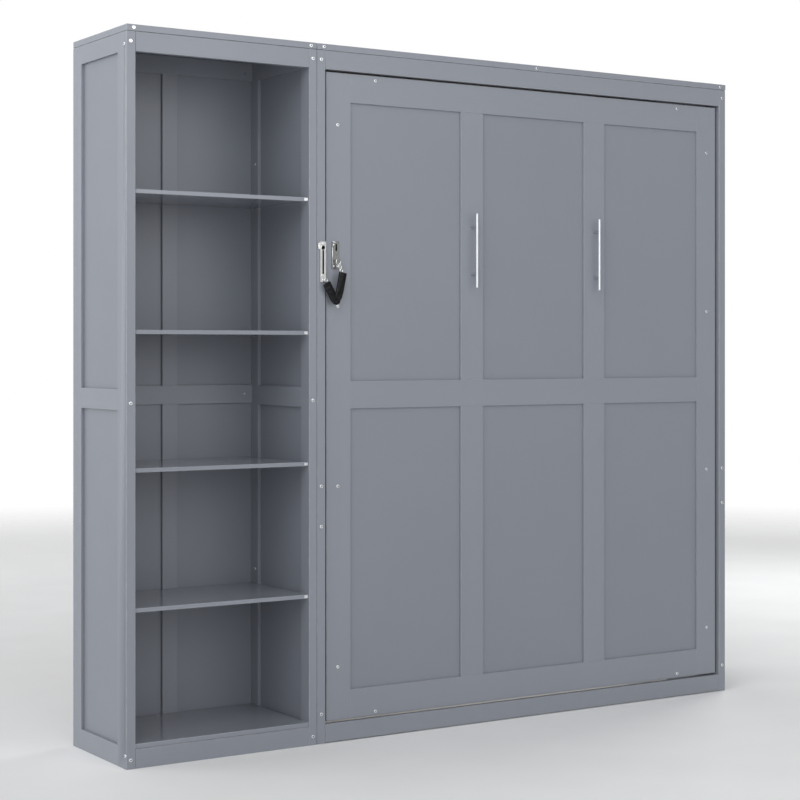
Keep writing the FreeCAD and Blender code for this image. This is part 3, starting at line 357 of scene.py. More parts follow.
ROUND_BAR_LINES = (260.0, 260.0, 5200.0)
FLAT_LINES = (2400.0, 2400.0, 90.0)
FACE_FRAME = painted_wood("satin_paint_on_boards", PAINT, 0.0005, 0.20, 0.36)
FIELD = painted_wood("satin_paint_on_panels", PANEL_PAINT_PARTLY_SHADED, 0.0002, 0.07, 0.38)
SHELF_PAINT = painted_wood("satin_paint_on_shelves", PAINT, 0.0002, 0.08, 0.13)
MATERIALS = {
    "slat_wood": bare_pine("planed_pine"),
    "bolt_steel": plated_steel("nickel_plate", (0.84, 0.85, 0.87, 1.0), 0.24,
                               (900.0, 900.0, 900.0), 0.05),
    "pull_steel": plated_steel("brushed_steel", (0.60, 0.62, 0.65, 1.0), 0.34,
                               ROUND_BAR_LINES, 0.03),
    "guard_steel": plated_steel("polished_steel", (0.80, 0.80, 0.79, 1.0), 0.14,
                                FLAT_LINES, 0.04),
    "mechanism_steel": coated_steel("powder_coat", (0.075, 0.078, 0.083, 1.0), 0.48,
                                    1100.0, 0.00012),
    "strut_black": coated_steel("black_enamel", (0.012, 0.012, 0.013, 1.0), 0.2,
                                240.0, 0.00005),
    "rod_chrome": plated_steel("hard_chrome", (0.82, 0.82, 0.84, 1.0), 0.1,
                               (300.0, 300.0, 2600.0), 0.02),
    "foot_rubber": black_rubber("black_rubber"),
    "sleeve_leather": black_leather("black_leather"),
}
THREAD = thread("dark_thread")
# Painted reflection: a darker copy of the guard's steel for the door plate's face, standing for
# the dark surroundings it reflects; its turned lip keeps the bright steel.
PLATE_STEEL_DARK_REFLECTION = plated_steel("plate_steel_painted_dark_reflection", (0.27, 0.28, 0.27, 1.0), 0.24, FLAT_LINES, 0.06)


# ---- mesh helpers ----------------------------------------------------------------------
WELD = 0.00001


def add_piece(name, bm, material, body, smooth=False):
    """A new mesh piece that moves with a body and has the given material."""
    bmesh.ops.recalc_face_normals(bm, faces=bm.faces)
    mesh = bpy.data.meshes.new(name)
    bm.to_mesh(mesh)
    bm.free()
    mesh.materials.append(material)
    if smooth:
        mesh.shade_smooth()
    piece = bpy.data.objects.new(name, mesh)
    scene.collection.objects.link(piece)
    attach(piece, body)
    return piece


def body_of_node(name):
    for body, members in frame["record"]["behaviour"]["bodies"].items():
        if name in members:
            return body
    raise ValueError(name)


def node_mesh(name):
    """An editable copy of a CAD node's mesh, welded where its faces meet."""
    bm = bmesh.new()
    bm.from_mesh(NODES[name].data)
    bmesh.ops.remove_doubles(bm, verts=bm.verts, dist=WELD)
    return bm


def corners(verts):
    """Lowest and highest corner of the box round some vertices."""
    low = Vector([min(v.co[axis] for v in verts) for axis in range(3)])
    high = Vector([max(v.co[axis] for v in verts) for axis in range(3)])
    return low, high


def islands(bm):
    """The separate boards of a mesh, as lists of vertices."""
    left = set(bm.verts)
    found = []
    for seed in bm.verts:
        if seed not in left:
            continue
        left.discard(seed)
        board = []
        stack = [seed]
        while stack:
            vert = stack.pop()
            board.append(vert)
            for edge in vert.link_edges:
                other = edge.other_vert(vert)
                if other in left:
                    left.discard(other)
                    stack.append(other)
        found.append(board)
    return found


# ---- boards ----------------------------------------------------------------------------
FLAT_ANGLE = math.radians(1.0)
SHARP_ANGLE = math.radians(30.0)
SHORTEST_ROUNDED_EDGE = 0.006
TOUCH = 0.00005
TONE_SPREAD = 0.012
LOG_LENGTH = 50
LOG_WIDTH = 9
JOINT_ROUNDING = 0.0007
ROUNDING_SEGMENTS = 2
ROUND_PROFILE = 0.5
OUTER_ROUNDINGS = {"panels": 0.0004, "door_": 0.0022, "shelf_1": 0.0014, "shelf_2": 0.0014,
                   "shelf_3": 0.0014, "shelf_4": 0.0014, "bottom_board": 0.0014,
                   "top_board": 0.0020, "header": 0.0016, "slats": 0.0020}
DEFAULT_OUTER_ROUNDING = 0.0014
TOP_SEAM = 0.0010
UNIT_SEAM = 0.0018
END_SEAM = 0.0005
CROSS_RAILS = ("shelf_header_rail", "bed_header_rail", "shelf_kick_rail", "bed_kick_rail")
UNDER_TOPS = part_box("shelf_top_board")[0].z
BETWEEN_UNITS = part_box("shelf_right_stiles")[1].x
SHELVES = ("shelf_1", "shelf_2", "shelf_3", "shelf_4", "shelf_bottom_board")
GROUPS = (("door_stiles", "door_rails", "door_muntins"),
          ("shelf_left_stiles", "shelf_left_rails"),
          ("shelf_right_stiles", "shelf_right_rails"),
          ("bed_left_stiles", "bed_left_rails"),
          ("bed_right_stiles", "bed_right_rails"))


def outer_rounding(name):
    """Radius of a node's outer edges, from the first word that its name holds."""
    for word, size in OUTER_ROUNDINGS.items():
        if word in name:
            return size
    return DEFAULT_OUTER_ROUNDING


def group_box(name):
    """The box of the frame that a node's boards are joined into."""
    members = next((group for group in GROUPS if name in group), (name,))
    boxes = [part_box(member) for member in members]
    low = [min(lo[axis] for lo, _ in boxes) for axis in range(3)]
    high = [max(hi[axis] for _, hi in boxes) for axis in range(3)]
    return low, high


def on_outer_edge(edge, low, high):
    """Whether an edge lies where two sides of a box meet."""
    middle = (edge.verts[0].co + edge.verts[1].co) / 2
    sides = [min(abs(middle[axis] - low[axis]), abs(middle[axis] - high[axis])) < TOUCH
             for axis in range(3)]
    return sum(sides) >= 2


def open_seams(bm, name):
    """Leaves hairline gaps under the top boards, between the units and at the cross rails."""
    low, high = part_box(name)
    for vert in bm.verts:
        if vert.co.z > UNDER_TOPS - TOUCH and high.z < UNDER_TOPS + TOUCH:
            vert.co.z -= TOP_SEAM
        if vert.co.x > BETWEEN_UNITS - TOUCH and high.x < BETWEEN_UNITS + TOUCH:
            vert.co.x -= UNIT_SEAM
        if name in CROSS_RAILS and vert.co.x < low.x + TOUCH:
            vert.co.x += END_SEAM
        if name in CROSS_RAILS and vert.co.x > high.x - TOUCH:
            vert.co.x -= END_SEAM


def round_edges(bm, name):
    """Rounds the frame's outer edges well, and the edges at its joints only a little."""
    low, high = group_box(name)
    # The rounded faces are marked, and the paint puts its painted highlight there.
    highlight_faces = bm.faces.layers.float.new("edge")
    for outer, size in ((True, outer_rounding(name)), (False, JOINT_ROUNDING)):
        chosen = [edge for edge in bm.edges
                  if edge.is_manifold and edge.calc_length() > SHORTEST_ROUNDED_EDGE
                  and edge.calc_face_angle() > SHARP_ANGLE
                  and on_outer_edge(edge, low, high) == outer
                  and not any(face[highlight_faces] for face in edge.link_faces)]
        made = bmesh.ops.bevel(bm, geom=chosen, offset=size, segments=ROUNDING_SEGMENTS,
                               profile=ROUND_PROFILE, affect="EDGES", clamp_overlap=False)
        for face in made["faces"]:
            face[highlight_faces] = 1.0


def mark_grain(bm, name):
    """Gives each board its own grain: along its longest side, from its own place in a log."""
    grain = bm.verts.layers.float_vector.new("grain")
    tone = bm.verts.layers.float.new("tone")
    rng = random.Random(name)
    for board in islands(bm):
        low, high = corners(board)
        spans = [high[axis] - low[axis] for axis in range(3)]
        order = sorted(range(3), key=lambda axis: -spans[axis])
        start = Vector((rng.uniform(0, LOG_LENGTH), rng.uniform(0, LOG_WIDTH),
                        rng.uniform(0, LOG_WIDTH)))
        board_tone = rng.uniform(-TONE_SPREAD, TONE_SPREAD)
        for vert in board:
            local = [vert.co[axis] - low[axis] for axis in order]
            vert[grain] = Vector(local) + start
            vert[tone] = board_tone


def finish_boards(name, material):
    """The boards of a CAD node in the same place, with rounded edges and hairline seams."""
    bm = node_mesh(name)
    bmesh.ops.dissolve_limit(bm, angle_limit=FLAT_ANGLE, verts=bm.verts, edges=bm.edges)
    open_seams(bm, name)
    round_edges(bm, name)
    mark_grain(bm, name)
    piece = add_piece(name + "_finished", bm, material, body_of_node(name))
    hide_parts(name)


def paint_for(name):
    """The paint of a node: fields, shelves and frames differ in grain and gloss, and the fields'
    paint is a little darker, partly as painted shade.
    """
    if "panels" in name:
        return FIELD
    return SHELF_PAINT if name in SHELVES else FACE_FRAME


# ---- recesses --------------------------------------------------------------------------
# Each recess is a space, and a steel node's faces inside it get painted shade. A bolt's socket
# is measured from the middle of its head's top, the other two from their node's box.
SOCKET_RADIUS = 2.35 * MM
SOCKET_TOP = 0.2 * MM
SOCKET_BOTTOM = 1.6 * MM
TRACK_INSET_LOW = Vector((8.4, 0.2, 1.4)) * MM
TRACK_INSET_HIGH = Vector((1.4, 1.4, 1.4)) * MM
PLATE_SLOT_LOW = Vector((-0.1, -2.8, -30.1)) * MM
PLATE_SLOT_HIGH = Vector((6.1, -0.5, -7.9)) * MM
SOCKETED = ("shelf_unit_bolts", "bed_unit_bolts", "door_bolts")


def bolt_heads(name):
    """Middle of each bolt head's top, and the way that it faces: the end with most detail."""
    bm = node_mesh(name)
    heads = []
    for bolt in islands(bm):
        low, high = corners(bolt)
        axis = max(range(3), key=lambda i: (high - low)[i])
        middle = (low + high) / 2
        at_low = sum(1 for v in bolt if v.co[axis] < middle[axis])
        sign = -1.0 if at_low > len(bolt) / 2 else 1.0
        direction = Vector([sign if i == axis else 0.0 for i in range(3)])
        heads.append((middle + direction * (high - low)[axis] / 2, direction))
    bm.free()
    return heads


def in_sockets(name):
    """A test for points inside the sockets of a node's bolts."""
    heads = bolt_heads(name)

    def inside(point):
        for place, direction in heads:
            below = (place - point).dot(direction)
            aside = (place - point - direction * below).length
            if SOCKET_TOP < below < SOCKET_BOTTOM and aside < SOCKET_RADIUS:
                return True
        return False
    return inside


def in_box(low, high):
    """A test for points inside a box."""
    return lambda point: all(low[axis] < point[axis] < high[axis] for axis in range(3))


def in_track():
    """A test for points inside the door guard track's channel."""
    low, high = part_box("guard_track")
    return in_box(low + TRACK_INSET_LOW, high - TRACK_INSET_HIGH)


def in_plate_slot():
    """A test for points inside the slot of the door guard's plate."""
    low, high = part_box("guard_plate")
    origin = Vector(((low.x + high.x) / 2, high.y, high.z))
    return in_box(origin + PLATE_SLOT_LOW, origin + PLATE_SLOT_HIGH)


def finish_recessed(name, material, inside):
    """A copy of a steel node whose own socket and slot faces are darkened with painted shade."""
    bm = node_mesh(name)
    # Painted shade: faces inside the recess are marked here, and the material darkens them.
    dark = bm.faces.layers.float.new("recess")
    for face in bm.faces:
        face[dark] = 1.0 if inside(face.calc_center_median()) else 0.0
    piece = add_piece(name + "_finished", bm, material, body_of_node(name))
    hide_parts(name)


def finish_nodes():
    """Gives every CAD node its finish, and replaces boards and recessed steel."""
    for name, node in NODES.items():
        slot = node.material_slots[0].material.name
        if name in SOCKETED:
            finish_recessed(name, MATERIALS[slot], in_sockets(name))
        elif name == "guard_track":
            finish_recessed(name, MATERIALS[slot], in_track())
        elif name == "guard_plate":
            # The plate's face takes the darker steel with its painted dark reflection.
            finish_recessed(name, PLATE_STEEL_DARK_REFLECTION, in_plate_slot())
        elif slot == "painted_wood":
            finish_boards(name, paint_for(name))
        elif slot == "slat_wood":
            finish_boards(name, MATERIALS[slot])
        else:
            node.material_slots[0].material = MATERIALS[slot]


# ---- turned and swept shapes -------------------------------------------------------------
def turned(bm, outline, matrix, segments=24, closed=False, drop=None):
    """Turns an outline of (radius, height) points about the local z axis."""
    rings = []
    for radius, height in outline:
        ring = []
        for step in range(segments if radius > 0 else 1):
            angle = math.tau * step / segments
            lowered = height - (drop(radius, angle) if drop else 0.0)
            point = Vector((radius * math.cos(angle), radius * math.sin(angle), lowered))
            ring.append(bm.verts.new(matrix @ point))
        rings.append(ring)
    pairs = list(zip(rings, rings[1:]))
    if closed:
        pairs.append((rings[-1], rings[0]))
    for lower, upper in pairs:
        for step in range(segments):
            after = (step + 1) % segments
            corners = [lower[step % len(lower)], lower[after % len(lower)],
                       upper[after % len(upper)], upper[step % len(upper)]]
            bm.faces.new(list(dict.fromkeys(corners)))


def tube(bm, rings):
    """Joins rings of points, one after the other, into a tube with closed ends."""
    made = [[bm.verts.new(point) for point in ring] for ring in rings]
    count = len(made[0])
    for lower, upper in zip(made, made[1:]):
        for step in range(count):
            after = (step + 1) % count
            bm.faces.new((lower[step], lower[after], upper[after], upper[step]))
    bm.faces.new(list(reversed(made[0])))
    bm.faces.new(made[-1])


def facing(place, direction):
    """A frame at a place whose z axis points along a direction."""
    turn = Vector(direction).to_track_quat("Z", "Y").to_matrix().to_4x4()
    return Matrix.Translation(place) @ turn


def ring_outline(radius, wire, steps=10):
    return [(radius + wire * math.cos(math.tau * i / steps), wire * math.sin(math.tau * i / steps))
            for i in range(steps)]


# ---- screws and nuts -----------------------------------------------------------------------
# A head's cross recess and rings as shares of its radius, and heights as shares of its height.
CROSS_HALF = 0.16
CROSS_REACH = 0.62
CROSS_DEPTH = 0.55
DOME_FALL = 0.82
HEAD_RINGS = (0.0, 0.14, 0.28, 0.42, 0.56, 0.68, 0.80, 0.92, 1.0)
HEAD_SEGMENTS = 32
# Outlines of a washer, a hexagon nut and a stud's end as shares of the nut's radius and
# height, each with its number of sides.
NUT_PARTS = ((((0.0, 0.0), (1.35, 0.0), (1.35, 0.18), (0.9, 0.2)), 28),
             (((0.0, 0.18), (1.0, 0.18), (1.0, 0.86), (0.86, 1.0), (0.0, 1.0)), 6),
             (((0.0, 1.0), (0.5, 1.0), (0.5, 1.15), (0.4, 1.25), (0.0, 1.25)), 20))


def add_screw(bm, place, direction, radius, height):
    """A domed screw head with a cross recess, seated at a place and facing a direction."""
    def recess(ring_radius, angle):
        share = ring_radius / radius
        across = min(abs(math.sin(angle)), abs(math.cos(angle))) * share
        deep = share < CROSS_REACH and across < CROSS_HALF
        return height * CROSS_DEPTH if deep else 0.0

    dome = [(radius * share, height * math.sqrt(1.0 - DOME_FALL * share * share))
            for share in HEAD_RINGS]
    turned(bm, dome + [(radius, 0.0)], facing(place, direction), HEAD_SEGMENTS, drop=recess)


def add_nut(bm, place, direction, radius, height):
    """A hexagon nut with a washer under it and a rounded stud end in the middle."""
    for shares, segments in NUT_PARTS:
        outline = [(radius * out, height * up) for out, up in shares]
        turned(bm, outline, facing(place, direction), segments)


def screws_piece(name, body, places, direction, size):
    """One piece of equal screw heads, where size is a head's radius and height."""
    bm = bmesh.new()
    for place in places:
        add_screw(bm, place, direction, *size)
    add_piece(name, bm, MATERIALS["bolt_steel"], body, smooth=True)


# ---- door guard ------------------------------------------------------------------------
# Middle line of the sleeve as shares of its CAD box, across and up.
SLEEVE_ROUTE = ((0.120, 0.645), (0.330, 0.357), (0.500, 0.110), (0.560, 0.110), (0.690, 0.357),
                (0.838, 0.976))
SLEEVE_HALF_WIDTH = 0.0142
SLEEVE_HALF_THICK = 0.0050
SLEEVE_STEPS = 72
SLEEVE_SIDES = 28
SLEEVE_FLATNESS = 2.6
# The fold's place and spread as shares of the sleeve's length, then the heights and rates of
# the waves, puckers and ridges.
FOLD_AT = 0.47
FOLD_SPREAD = 0.09
FOLD_WAVE = 0.0010
FOLD_WAVE_RATE = 95.0
LONG_WAVE = 0.00035
LONG_WAVE_RATE = 61.0
PUCKER = 0.10
PUCKER_RATE = 70.0
RIDGE = 0.0011
RIDGE_COUNT = 5
RIDGE_TWIST = 9.0
HEM_DEPTH = 0.0004
HEM_SCALE = 0.78
MOUTH_DEPTH = 0.010
MOUTH_SCALE = 0.70
STITCH_PITCH = 0.0042
STITCH_LENGTH = 0.0029
STITCH_SHOULDER = 0.32
STITCH_RADIUS = 0.00042
STITCH_SIDES = 8
STITCH_INSET = 0.0026
STITCH_OUT = 0.80
STITCH_OUTLINE = ((0.0, -STITCH_LENGTH / 2), (STITCH_RADIUS, -STITCH_LENGTH * STITCH_SHOULDER),
                  (STITCH_RADIUS, STITCH_LENGTH * STITCH_SHOULDER), (0.0, STITCH_LENGTH / 2))
CURVE_ORDER = 3
CURVE_RESOLUTION = 32


def spline_points(points, steps):
    """Even steps along a quadratic spline that starts and ends at the route's ends."""
    curve = bpy.data.curves.new("route", "CURVE")
    curve.dimensions = "3D"
    spline = curve.splines.new("NURBS")
    spline.points.add(len(points) - 1)
    for target, point in zip(spline.points, points):
        target.co = (*point, 1.0)
    spline.order_u = CURVE_ORDER
    spline.use_endpoint_u = True
    curve.resolution_u = CURVE_RESOLUTION
    holder = bpy.data.objects.new("route", curve)
    line = bpy.data.meshes.new_from_object(holder)
    raw = [vert.co.copy() for vert in line.vertices]
    bpy.data.objects.remove(holder)
    bpy.data.meshes.remove(line)
    bpy.data.curves.remove(curve)
    lengths = [0.0]
    for before, after in zip(raw, raw[1:]):
        lengths.append(lengths[-1] + (after - before).length)
    even = []
    span = 0
    for step in range(steps + 1):
        goal = lengths[-1] * step / steps
        while span < len(raw) - 2 and lengths[span + 1] < goal:
            span += 1
        share = (goal - lengths[span]) / (lengths[span + 1] - lengths[span])
        even.append(raw[span].lerp(raw[span + 1], min(share, 1.0)))
    return even


def sleeve_line():
    """Middle line of the sleeve, in its flat plane."""
    low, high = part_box("guard_sleeve")
    depth = (low.y + high.y) / 2
    route = [Vector((low.x + u * (high.x - low.x), depth, low.z + v * (high.z - low.z)))
             for u, v in SLEEVE_ROUTE]
    return spline_points(route, SLEEVE_STEPS)


def sleeve_directions(line):
    """At each point, the way along the sleeve and the way across it in its flat plane."""
    found = []
    for index in range(len(line)):
        before = line[max(index - 1, 0)]
        after = line[min(index + 1, len(line) - 1)]
        along = (after - before).normalized()
        found.append((along, along.cross(Vector((0.0, 1.0, 0.0))).normalized()))
    return found


def sleeve_ring(centre, across, share, scale=1.0):
    """One section: a flat rounded oval, crumpled near the fold."""
    fold = math.exp(-((share - FOLD_AT) / FOLD_SPREAD) ** 2)
    crumple = (FOLD_WAVE * fold * math.sin(FOLD_WAVE_RATE * share)
               + LONG_WAVE * math.sin(LONG_WAVE_RATE * share + 1.0))
    ring = []
    for side in range(SLEEVE_SIDES):
        angle = math.tau * side / SLEEVE_SIDES
        wide = math.copysign(abs(math.cos(angle)) ** (2 / SLEEVE_FLATNESS), math.cos(angle))
        thick = math.copysign(abs(math.sin(angle)) ** (2 / SLEEVE_FLATNESS), math.sin(angle))
        pucker = 1.0 - (PUCKER * fold * math.cos(angle) ** 2
                        * (1 + math.sin(PUCKER_RATE * share)))
        ridge = (RIDGE * math.cos(RIDGE_COUNT * angle + RIDGE_TWIST * share)
                 * (1.0 - abs(wide)) * (1 + fold))
        out = (SLEEVE_HALF_THICK + ridge + crumple * abs(thick)) * thick * scale
        point = centre + across * (SLEEVE_HALF_WIDTH * wide * pucker * scale)
        ring.append(point + Vector((0.0, out, 0.0)))
    return ring


def add_sleeve():
    """Black leather sleeve with open hemmed mouths, over the guard's chain."""
    line = sleeve_line()
    ways = sleeve_directions(line)
    rings = [sleeve_ring(line[i], ways[i][1], i / SLEEVE_STEPS) for i in range(len(line))]
    for end, inward in ((0, 1.0), (-1, -1.0)):
        along, across = ways[end]
        share = 0.0 if end == 0 else 1.0
        lip = sleeve_ring(line[end] + along * inward * HEM_DEPTH, across, share, HEM_SCALE)
        floor = sleeve_ring(line[end] + along * inward * MOUTH_DEPTH, across, share,
                            MOUTH_SCALE)
        rings = [floor, lip] + rings if end == 0 else rings + [lip, floor]
    bm = bmesh.new()
    tube(bm, rings)
    sleeve = add_piece("guard_sleeve_leather", bm, MATERIALS["sleeve_leather"], "bed",
                       smooth=True)
    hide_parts("guard_sleeve")
    add_stitches(line, ways)


def add_stitches(line, ways):
    """A row of short raised stitches along each edge of the sleeve's front."""
    bm = bmesh.new()
    length = sum((after - before).length for before, after in zip(line, line[1:]))
    count = int(length / STITCH_PITCH)
    for edge in (-1.0, 1.0):
        for number in range(1, count):
            index = round(SLEEVE_STEPS * number / count)
            along, across = ways[index]
            place = line[index] + across * edge * (SLEEVE_HALF_WIDTH - STITCH_INSET)
            place = place + Vector((0.0, -SLEEVE_HALF_THICK * STITCH_OUT, 0.0))
            turned(bm, STITCH_OUTLINE, facing(place, along), STITCH_SIDES)
    add_piece("guard_sleeve_stitches", bm, THREAD, "bed", smooth=True)


# Fittings of the guard's track. Its channel lies near the right side of its box.
TO_FRONT = (0, -1, 0)
CHANNEL_INSET = 10.5 * MM
ENTRY_DOWN = 20.0 * MM
ENTRY_RIM_RADIUS = 7.6 * MM
ENTRY_RIM_WIRE = 1.1 * MM
TRACK_SCREW_DOWN = 6.0 * MM
TRACK_SCREW_UP = 8.0 * MM
TRACK_SCREW_SIZE = (3.4 * MM, 1.3 * MM)
EAR_SCREW_RIGHT = 3.5 * MM
EAR_SCREW_FORWARD = 3.0 * MM
EAR_SCREW_DOWN = 14.0 * MM
EAR_SCREW_SIZE = (2.8 * MM, 1.0 * MM)


def add_guard_fittings():
    """Raised rim round the track's entry, screw heads, and the plate's turned edge."""
    low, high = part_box("guard_track")
    channel_middle = high.x - CHANNEL_INSET
    front = low.y
    bm = bmesh.new()
    entry = Vector((channel_middle, front, high.z - ENTRY_DOWN))
    turned(bm, ring_outline(ENTRY_RIM_RADIUS, ENTRY_RIM_WIRE), facing(entry, TO_FRONT),
           closed=True)
    add_piece("guard_entry_rim", bm, MATERIALS["guard_steel"], "cabinet", True)
    track_screws = [Vector((channel_middle, front, high.z - TRACK_SCREW_DOWN)),
                    Vector((channel_middle, front, low.z + TRACK_SCREW_UP))]
    screws_piece("guard_track_screws", "cabinet", track_screws, TO_FRONT, TRACK_SCREW_SIZE)
    ear_screw = Vector((low.x + EAR_SCREW_RIGHT, high.y - EAR_SCREW_FORWARD,
                        high.z - EAR_SCREW_DOWN))
    screws_piece("guard_ear_screw", "cabinet", [ear_screw], TO_FRONT, EAR_SCREW_SIZE)
    add_plate_fittings()


PLATE_THICK = 3.0 * MM
PLATE_SCREW_ASIDE = 6.0 * MM
PLATE_SCREW_DOWN = 10.0 * MM
PLATE_SCREW_UP = 9.0 * MM
PLATE_SCREW_SIZE = (3.2 * MM, 1.2 * MM)
LIP_WIRE = 1.7 * MM
LIP_SIDES = 14


def add_plate_fittings():
    """Three screw heads in the guard's plate on the door, and its turned edge."""
    low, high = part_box("guard_plate")
    face = high.y - PLATE_THICK
    screws = [Vector((low.x + PLATE_SCREW_ASIDE, face, high.z - PLATE_SCREW_DOWN)),
              Vector((low.x + PLATE_SCREW_ASIDE, face, low.z + PLATE_SCREW_UP)),
              Vector((high.x - PLATE_SCREW_ASIDE, face, low.z + PLATE_SCREW_UP))]
    screws_piece("guard_plate_screws", "bed", screws, TO_FRONT, PLATE_SCREW_SIZE)
    add_plate_lip(low, high, face)


def add_plate_lip(low, high, face):
    """The turned edge along the top and left of the door plate."""
    bm = bmesh.new()
    corner = Vector((low.x + LIP_WIRE, face, high.z - LIP_WIRE))
    for end in (Vector((high.x - LIP_WIRE, face, corner.z)),
                Vector((corner.x, face, low.z + LIP_WIRE))):
        length = (end - corner).length
        outline = [(0.0, 0.0), (LIP_WIRE, 0.0), (LIP_WIRE, length), (0.0, length)]
        turned(bm, outline, facing(corner, end - corner), LIP_SIDES)
    add_piece("guard_plate_lip", bm, MATERIALS["guard_steel"], "bed", True)


# ---- bed and mechanism fittings --------------------------------------------------------
def node_islands(name):
    """Low and high corners of each separate solid in a CAD node."""
    bm = node_mesh(name)
    boxes = [corners(solid) for solid in islands(bm)]
    bm.free()
    return boxes


# Two screws at each crossing, as shares of the slat's width, sunk a little into its top.
SLAT_SCREW_SHARES = (0.28, 0.72)
SLAT_SCREW_SUNK = 0.3 * MM
SLAT_SCREW_SIZE = (3.8 * MM, 0.7 * MM)


def add_slat_screws():
    """Countersunk screws at every crossing of a slat with a ledger or the beam."""
    supports = [(low.x + high.x) / 2
                for low, high in node_islands("slat_ledgers") + node_islands("centre_beam")]
    places = []
    for low, high in node_islands("slats"):
        for x in supports:
            for share in SLAT_SCREW_SHARES:
                up = low.z + share * (high.z - low.z)
                places.append(Vector((x, high.y - SLAT_SCREW_SUNK, up)))
    screws_piece("slat_screws", "bed", places, (0, 1, 0), SLAT_SCREW_SIZE)


def side_of(low):
    """1 at the left of the bed, where plates face right, and -1 at its right."""
    middle = sum(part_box("bed_top_board"), Vector()) / 2
    return 1 if low.x < middle.x else -1


def side_name(side):
    return "left" if side > 0 else "right"


# Node, distances of its screws from its edges along y and z, and its plate's thickness.
SCREWED_PLATES = (("bearing_plates", 9 * MM, 10 * MM, 5 * MM),
                  ("strut_anchors", 8 * MM, 9 * MM, 3 * MM))
MOUNT_SCREW_SIZE = (4.6 * MM, 2.0 * MM)


def add_plate_screws():
    """Screw heads in the corners of the bearing plates and the strut anchor plates."""
    for node, edge_y, edge_z, thick in SCREWED_PLATES:
        for low, high in node_islands(node):
            side = side_of(low)
            face = (low.x if side > 0 else high.x) + side * thick
            places = [Vector((face, y, z)) for y in (low.y + edge_y, high.y - edge_y)
                      for z in (low.z + edge_z, high.z - edge_z)]
            name = node + "_screws_" + side_name(side)
            screws_piece(name, "cabinet", places, (side, 0, 0), MOUNT_SCREW_SIZE)


# Bolts through each hinge arm as shares of its box, along y and z. Their heads sit on the
# outer face of the arm's plate, which lies against the bed's rail.
ARM_BOLTS = ((0.12, 0.12), (0.80, 0.13), (0.86, 0.40), (0.12, 0.88), (0.56, 0.88))
ARM_PLATE_THICK = 5.0 * MM
ARM_BOLT_SIZE = (6.0 * MM, 2.4 * MM)


def add_arm_bolts():
    """Bolt heads on the hinge arms' plates."""
    for low, high in node_islands("hinge_arms"):
        side = side_of(low)
        face = (high.x - ARM_PLATE_THICK) if side > 0 else (low.x + ARM_PLATE_THICK)
        places = [Vector((face, low.y + u * (high.y - low.y), low.z + v * (high.z - low.z)))
                  for u, v in ARM_BOLTS]
        name = "hinge_arm_bolts_" + side_name(side)
        screws_piece(name, "bed", places, (-side, 0, 0), ARM_BOLT_SIZE)


NUT_BACK = 1.8 * MM
NUT_RADIUS = 6.5 * MM
NUT_HEIGHT = 5.0 * MM
SEAL_OVERLAP = 0.4 * MM
SEAL_SIDES = 28
SEAL_OUTLINE = ((4.3 * MM, 0.0), (8.6 * MM, 0.0), (8.6 * MM, 1.2 * MM), (7.4 * MM, 2.6 * MM),
                (5.2 * MM, 3.4 * MM), (4.3 * MM, 3.4 * MM))


def add_strut_fittings():
    """Nuts on the anchor studs, and a sealing ring where each rod leaves its tube."""
    for low, high in node_islands("strut_anchors"):
        side = side_of(low)
        tip = high.x if side > 0 else low.x
        place = Vector((tip - side * NUT_BACK, (low.y + high.y) / 2, (low.z + high.z) / 2))
        bm = bmesh.new()
        add_nut(bm, place, (side, 0, 0), NUT_RADIUS, NUT_HEIGHT)
        name = "strut_nut_" + side_name(side)
        add_piece(name, bm, MATERIALS["bolt_steel"], "cabinet")
    for joint in frame["joints"]:
        if joint["name"].endswith("_rod_slide"):
            add_seal(joint)


def add_seal(joint):
    """A sealing ring at the end of a strut's tube, given the joint of its rod."""
    side = joint["name"].split("_")[0]
    swing = next(other for other in frame["joints"] if other["child"] == joint["parent"])
    low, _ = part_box("strut_cylinder_" + side)
    along = Vector(joint["axis"]).normalized()
    anchor = Vector(swing["pos_m"])
    reach = (anchor.z - low.z) / abs(along.z)
    end = anchor + along * (reach - SEAL_OVERLAP)
    bm = bmesh.new()
    turned(bm, SEAL_OUTLINE, facing(end, along), SEAL_SIDES, closed=True)
    add_piece("strut_seal_" + side, bm, MATERIALS["foot_rubber"], joint["parent"],
              smooth=True)


# ---- stage -----------------------------------------------------------------------------
FLOOR_RADIUS = 30.0
FLOOR_SIDES = 96
FLOOR_CLEAR_FROM = 4.0
FLOOR_CLEAR_TO = 9.0
FLOOR_COLOUR = (0.90, 0.90, 0.90, 1.0)
SKY_COLOUR = (0.97, 0.985, 1.0, 1.0)
BACKDROP = (1.0, 1.0, 1.0, 1.0)
SKY_LEFT = 1.66
SKY_FRONT = 0.45
SKY_LOW = 0.30
# Name, place, aim, size and power of each lamp.
LIGHTS = (("front_light", (-0.3, -5.7, 3.2), (-0.1, 0.0, 1.2), 4.0, 51.0),
          ("front_right_light", (1.1, -5.7, 3.0), (-0.1, 0.0, 1.2), 2.6, 29.0),
          ("high_left_light", (-2.4, -2.4, 4.2), (-0.6, 0.0, 1.4), 2.4, 30.0),
          ("left_light", (-4.0, 1.2, 3.2), (-1.2, 0.0, 1.2), 1.8, 9.0),
          ("right_light", (4.6, 1.9, 3.0), (1.2, 0.0, 1.2), 2.2, 90.0),
          ("back_light", (-0.5, 5.4, 3.2), (0.0, 0.2, 1.2), 2.6, 48.0))


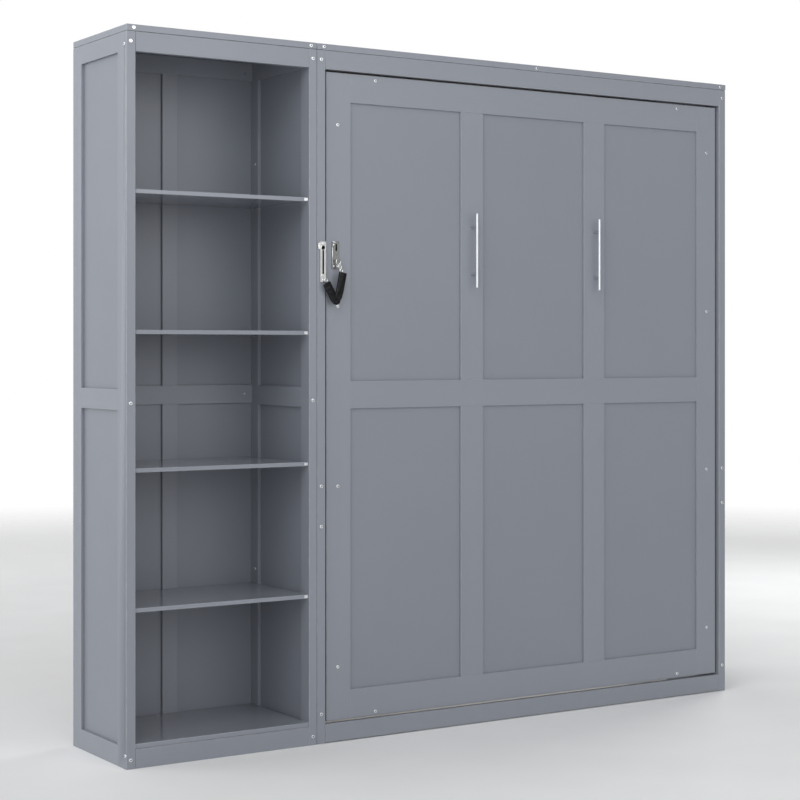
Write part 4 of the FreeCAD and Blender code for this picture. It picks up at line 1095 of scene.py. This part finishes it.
def add_floor():
    """A pale round floor that fades into the white backdrop."""
    material, tree, shader = new_material("pale_floor")
    place = row_frame(tree)
    speckle = noise(tree, place, 3.0, 4.0)
    tone = ranged(tree, speckle, 0.3, 0.7, 0.985, 1.015)
    tree.links.new(shaded(tree, FLOOR_COLOUR, tone), shader.inputs["Base Color"])
    shader.inputs["Roughness"].default_value = 0.85
    shader.inputs["Specular IOR Level"].default_value = 0.1
    distance = add_node(tree, "ShaderNodeVectorMath", {0: place}, operation="LENGTH")
    fade = ranged(tree, distance.outputs["Value"], FLOOR_CLEAR_FROM, FLOOR_CLEAR_TO, 0.0, 1.0)
    clear = add_node(tree, "ShaderNodeBsdfTransparent")
    mix = add_node(tree, "ShaderNodeMixShader", {0: fade})
    tree.links.new(shader.outputs[0], mix.inputs[1])
    tree.links.new(clear.outputs[0], mix.inputs[2])
    tree.links.new(mix.outputs[0], tree.nodes["Material Output"].inputs["Surface"])
    bm = bmesh.new()
    bmesh.ops.create_circle(bm, cap_ends=True, segments=FLOOR_SIDES, radius=FLOOR_RADIUS)
    mesh = bpy.data.meshes.new("floor")
    bm.to_mesh(mesh)
    bm.free()
    mesh.materials.append(material)
    floor = bpy.data.objects.new("floor", mesh)
    scene.collection.objects.link(floor)


def add_world():
    """White behind the object, and a soft light that is brightest from the left."""
    world = bpy.data.worlds.new("studio")
    world.use_nodes = True
    scene.world = world
    tree = world.node_tree
    seen = tree.nodes["Background"]
    seen.inputs["Strength"].default_value = 1.0
    seen.inputs["Color"].default_value = BACKDROP
    direction = add_node(tree, "ShaderNodeTexCoord").outputs["Generated"]
    axes = add_node(tree, "ShaderNodeSeparateXYZ", {0: direction}).outputs
    left = ranged(tree, axes["X"], 0.0, -1.0, 0.0, SKY_LEFT)
    front = ranged(tree, axes["Y"], 0.0, -1.0, 0.0, SKY_FRONT)
    low = ranged(tree, axes["Z"], 0.6, -0.3, 0.0, SKY_LOW)
    strength = calculated(tree, "ADD", calculated(tree, "ADD", left, front), low)
    light = add_node(tree, "ShaderNodeBackground",
                     {"Color": SKY_COLOUR, "Strength": strength})
    path = add_node(tree, "ShaderNodeLightPath")
    mix = add_node(tree, "ShaderNodeMixShader", {0: path.outputs["Is Camera Ray"]})
    tree.links.new(light.outputs[0], mix.inputs[1])
    tree.links.new(seen.outputs[0], mix.inputs[2])
    tree.links.new(mix.outputs[0], tree.nodes["World Output"].inputs["Surface"])


def add_area_light(name, place, target, size, power):
    """A soft square lamp that faces its target."""
    data = bpy.data.lights.new(name, "AREA")
    data.shape = "SQUARE"
    data.size = size
    data.energy = power
    light = bpy.data.objects.new(name, data)
    light.location = place
    light.rotation_euler = (Vector(target) - Vector(place)).to_track_quat("-Z", "Y").to_euler()
    scene.collection.objects.link(light)


def add_stage():
    """The floor, the backdrop and the lamps, none of which is part of the object."""
    scene.view_settings.view_transform = "Standard"
    add_floor()
    add_world()
    for name, place, target, size, power in LIGHTS:
        add_area_light(name, place, target, size, power)


add_camera()
finish_nodes()
add_sleeve()
add_guard_fittings()
add_slat_screws()
add_plate_screws()
add_arm_bolts()
add_strut_fittings()
add_stage()
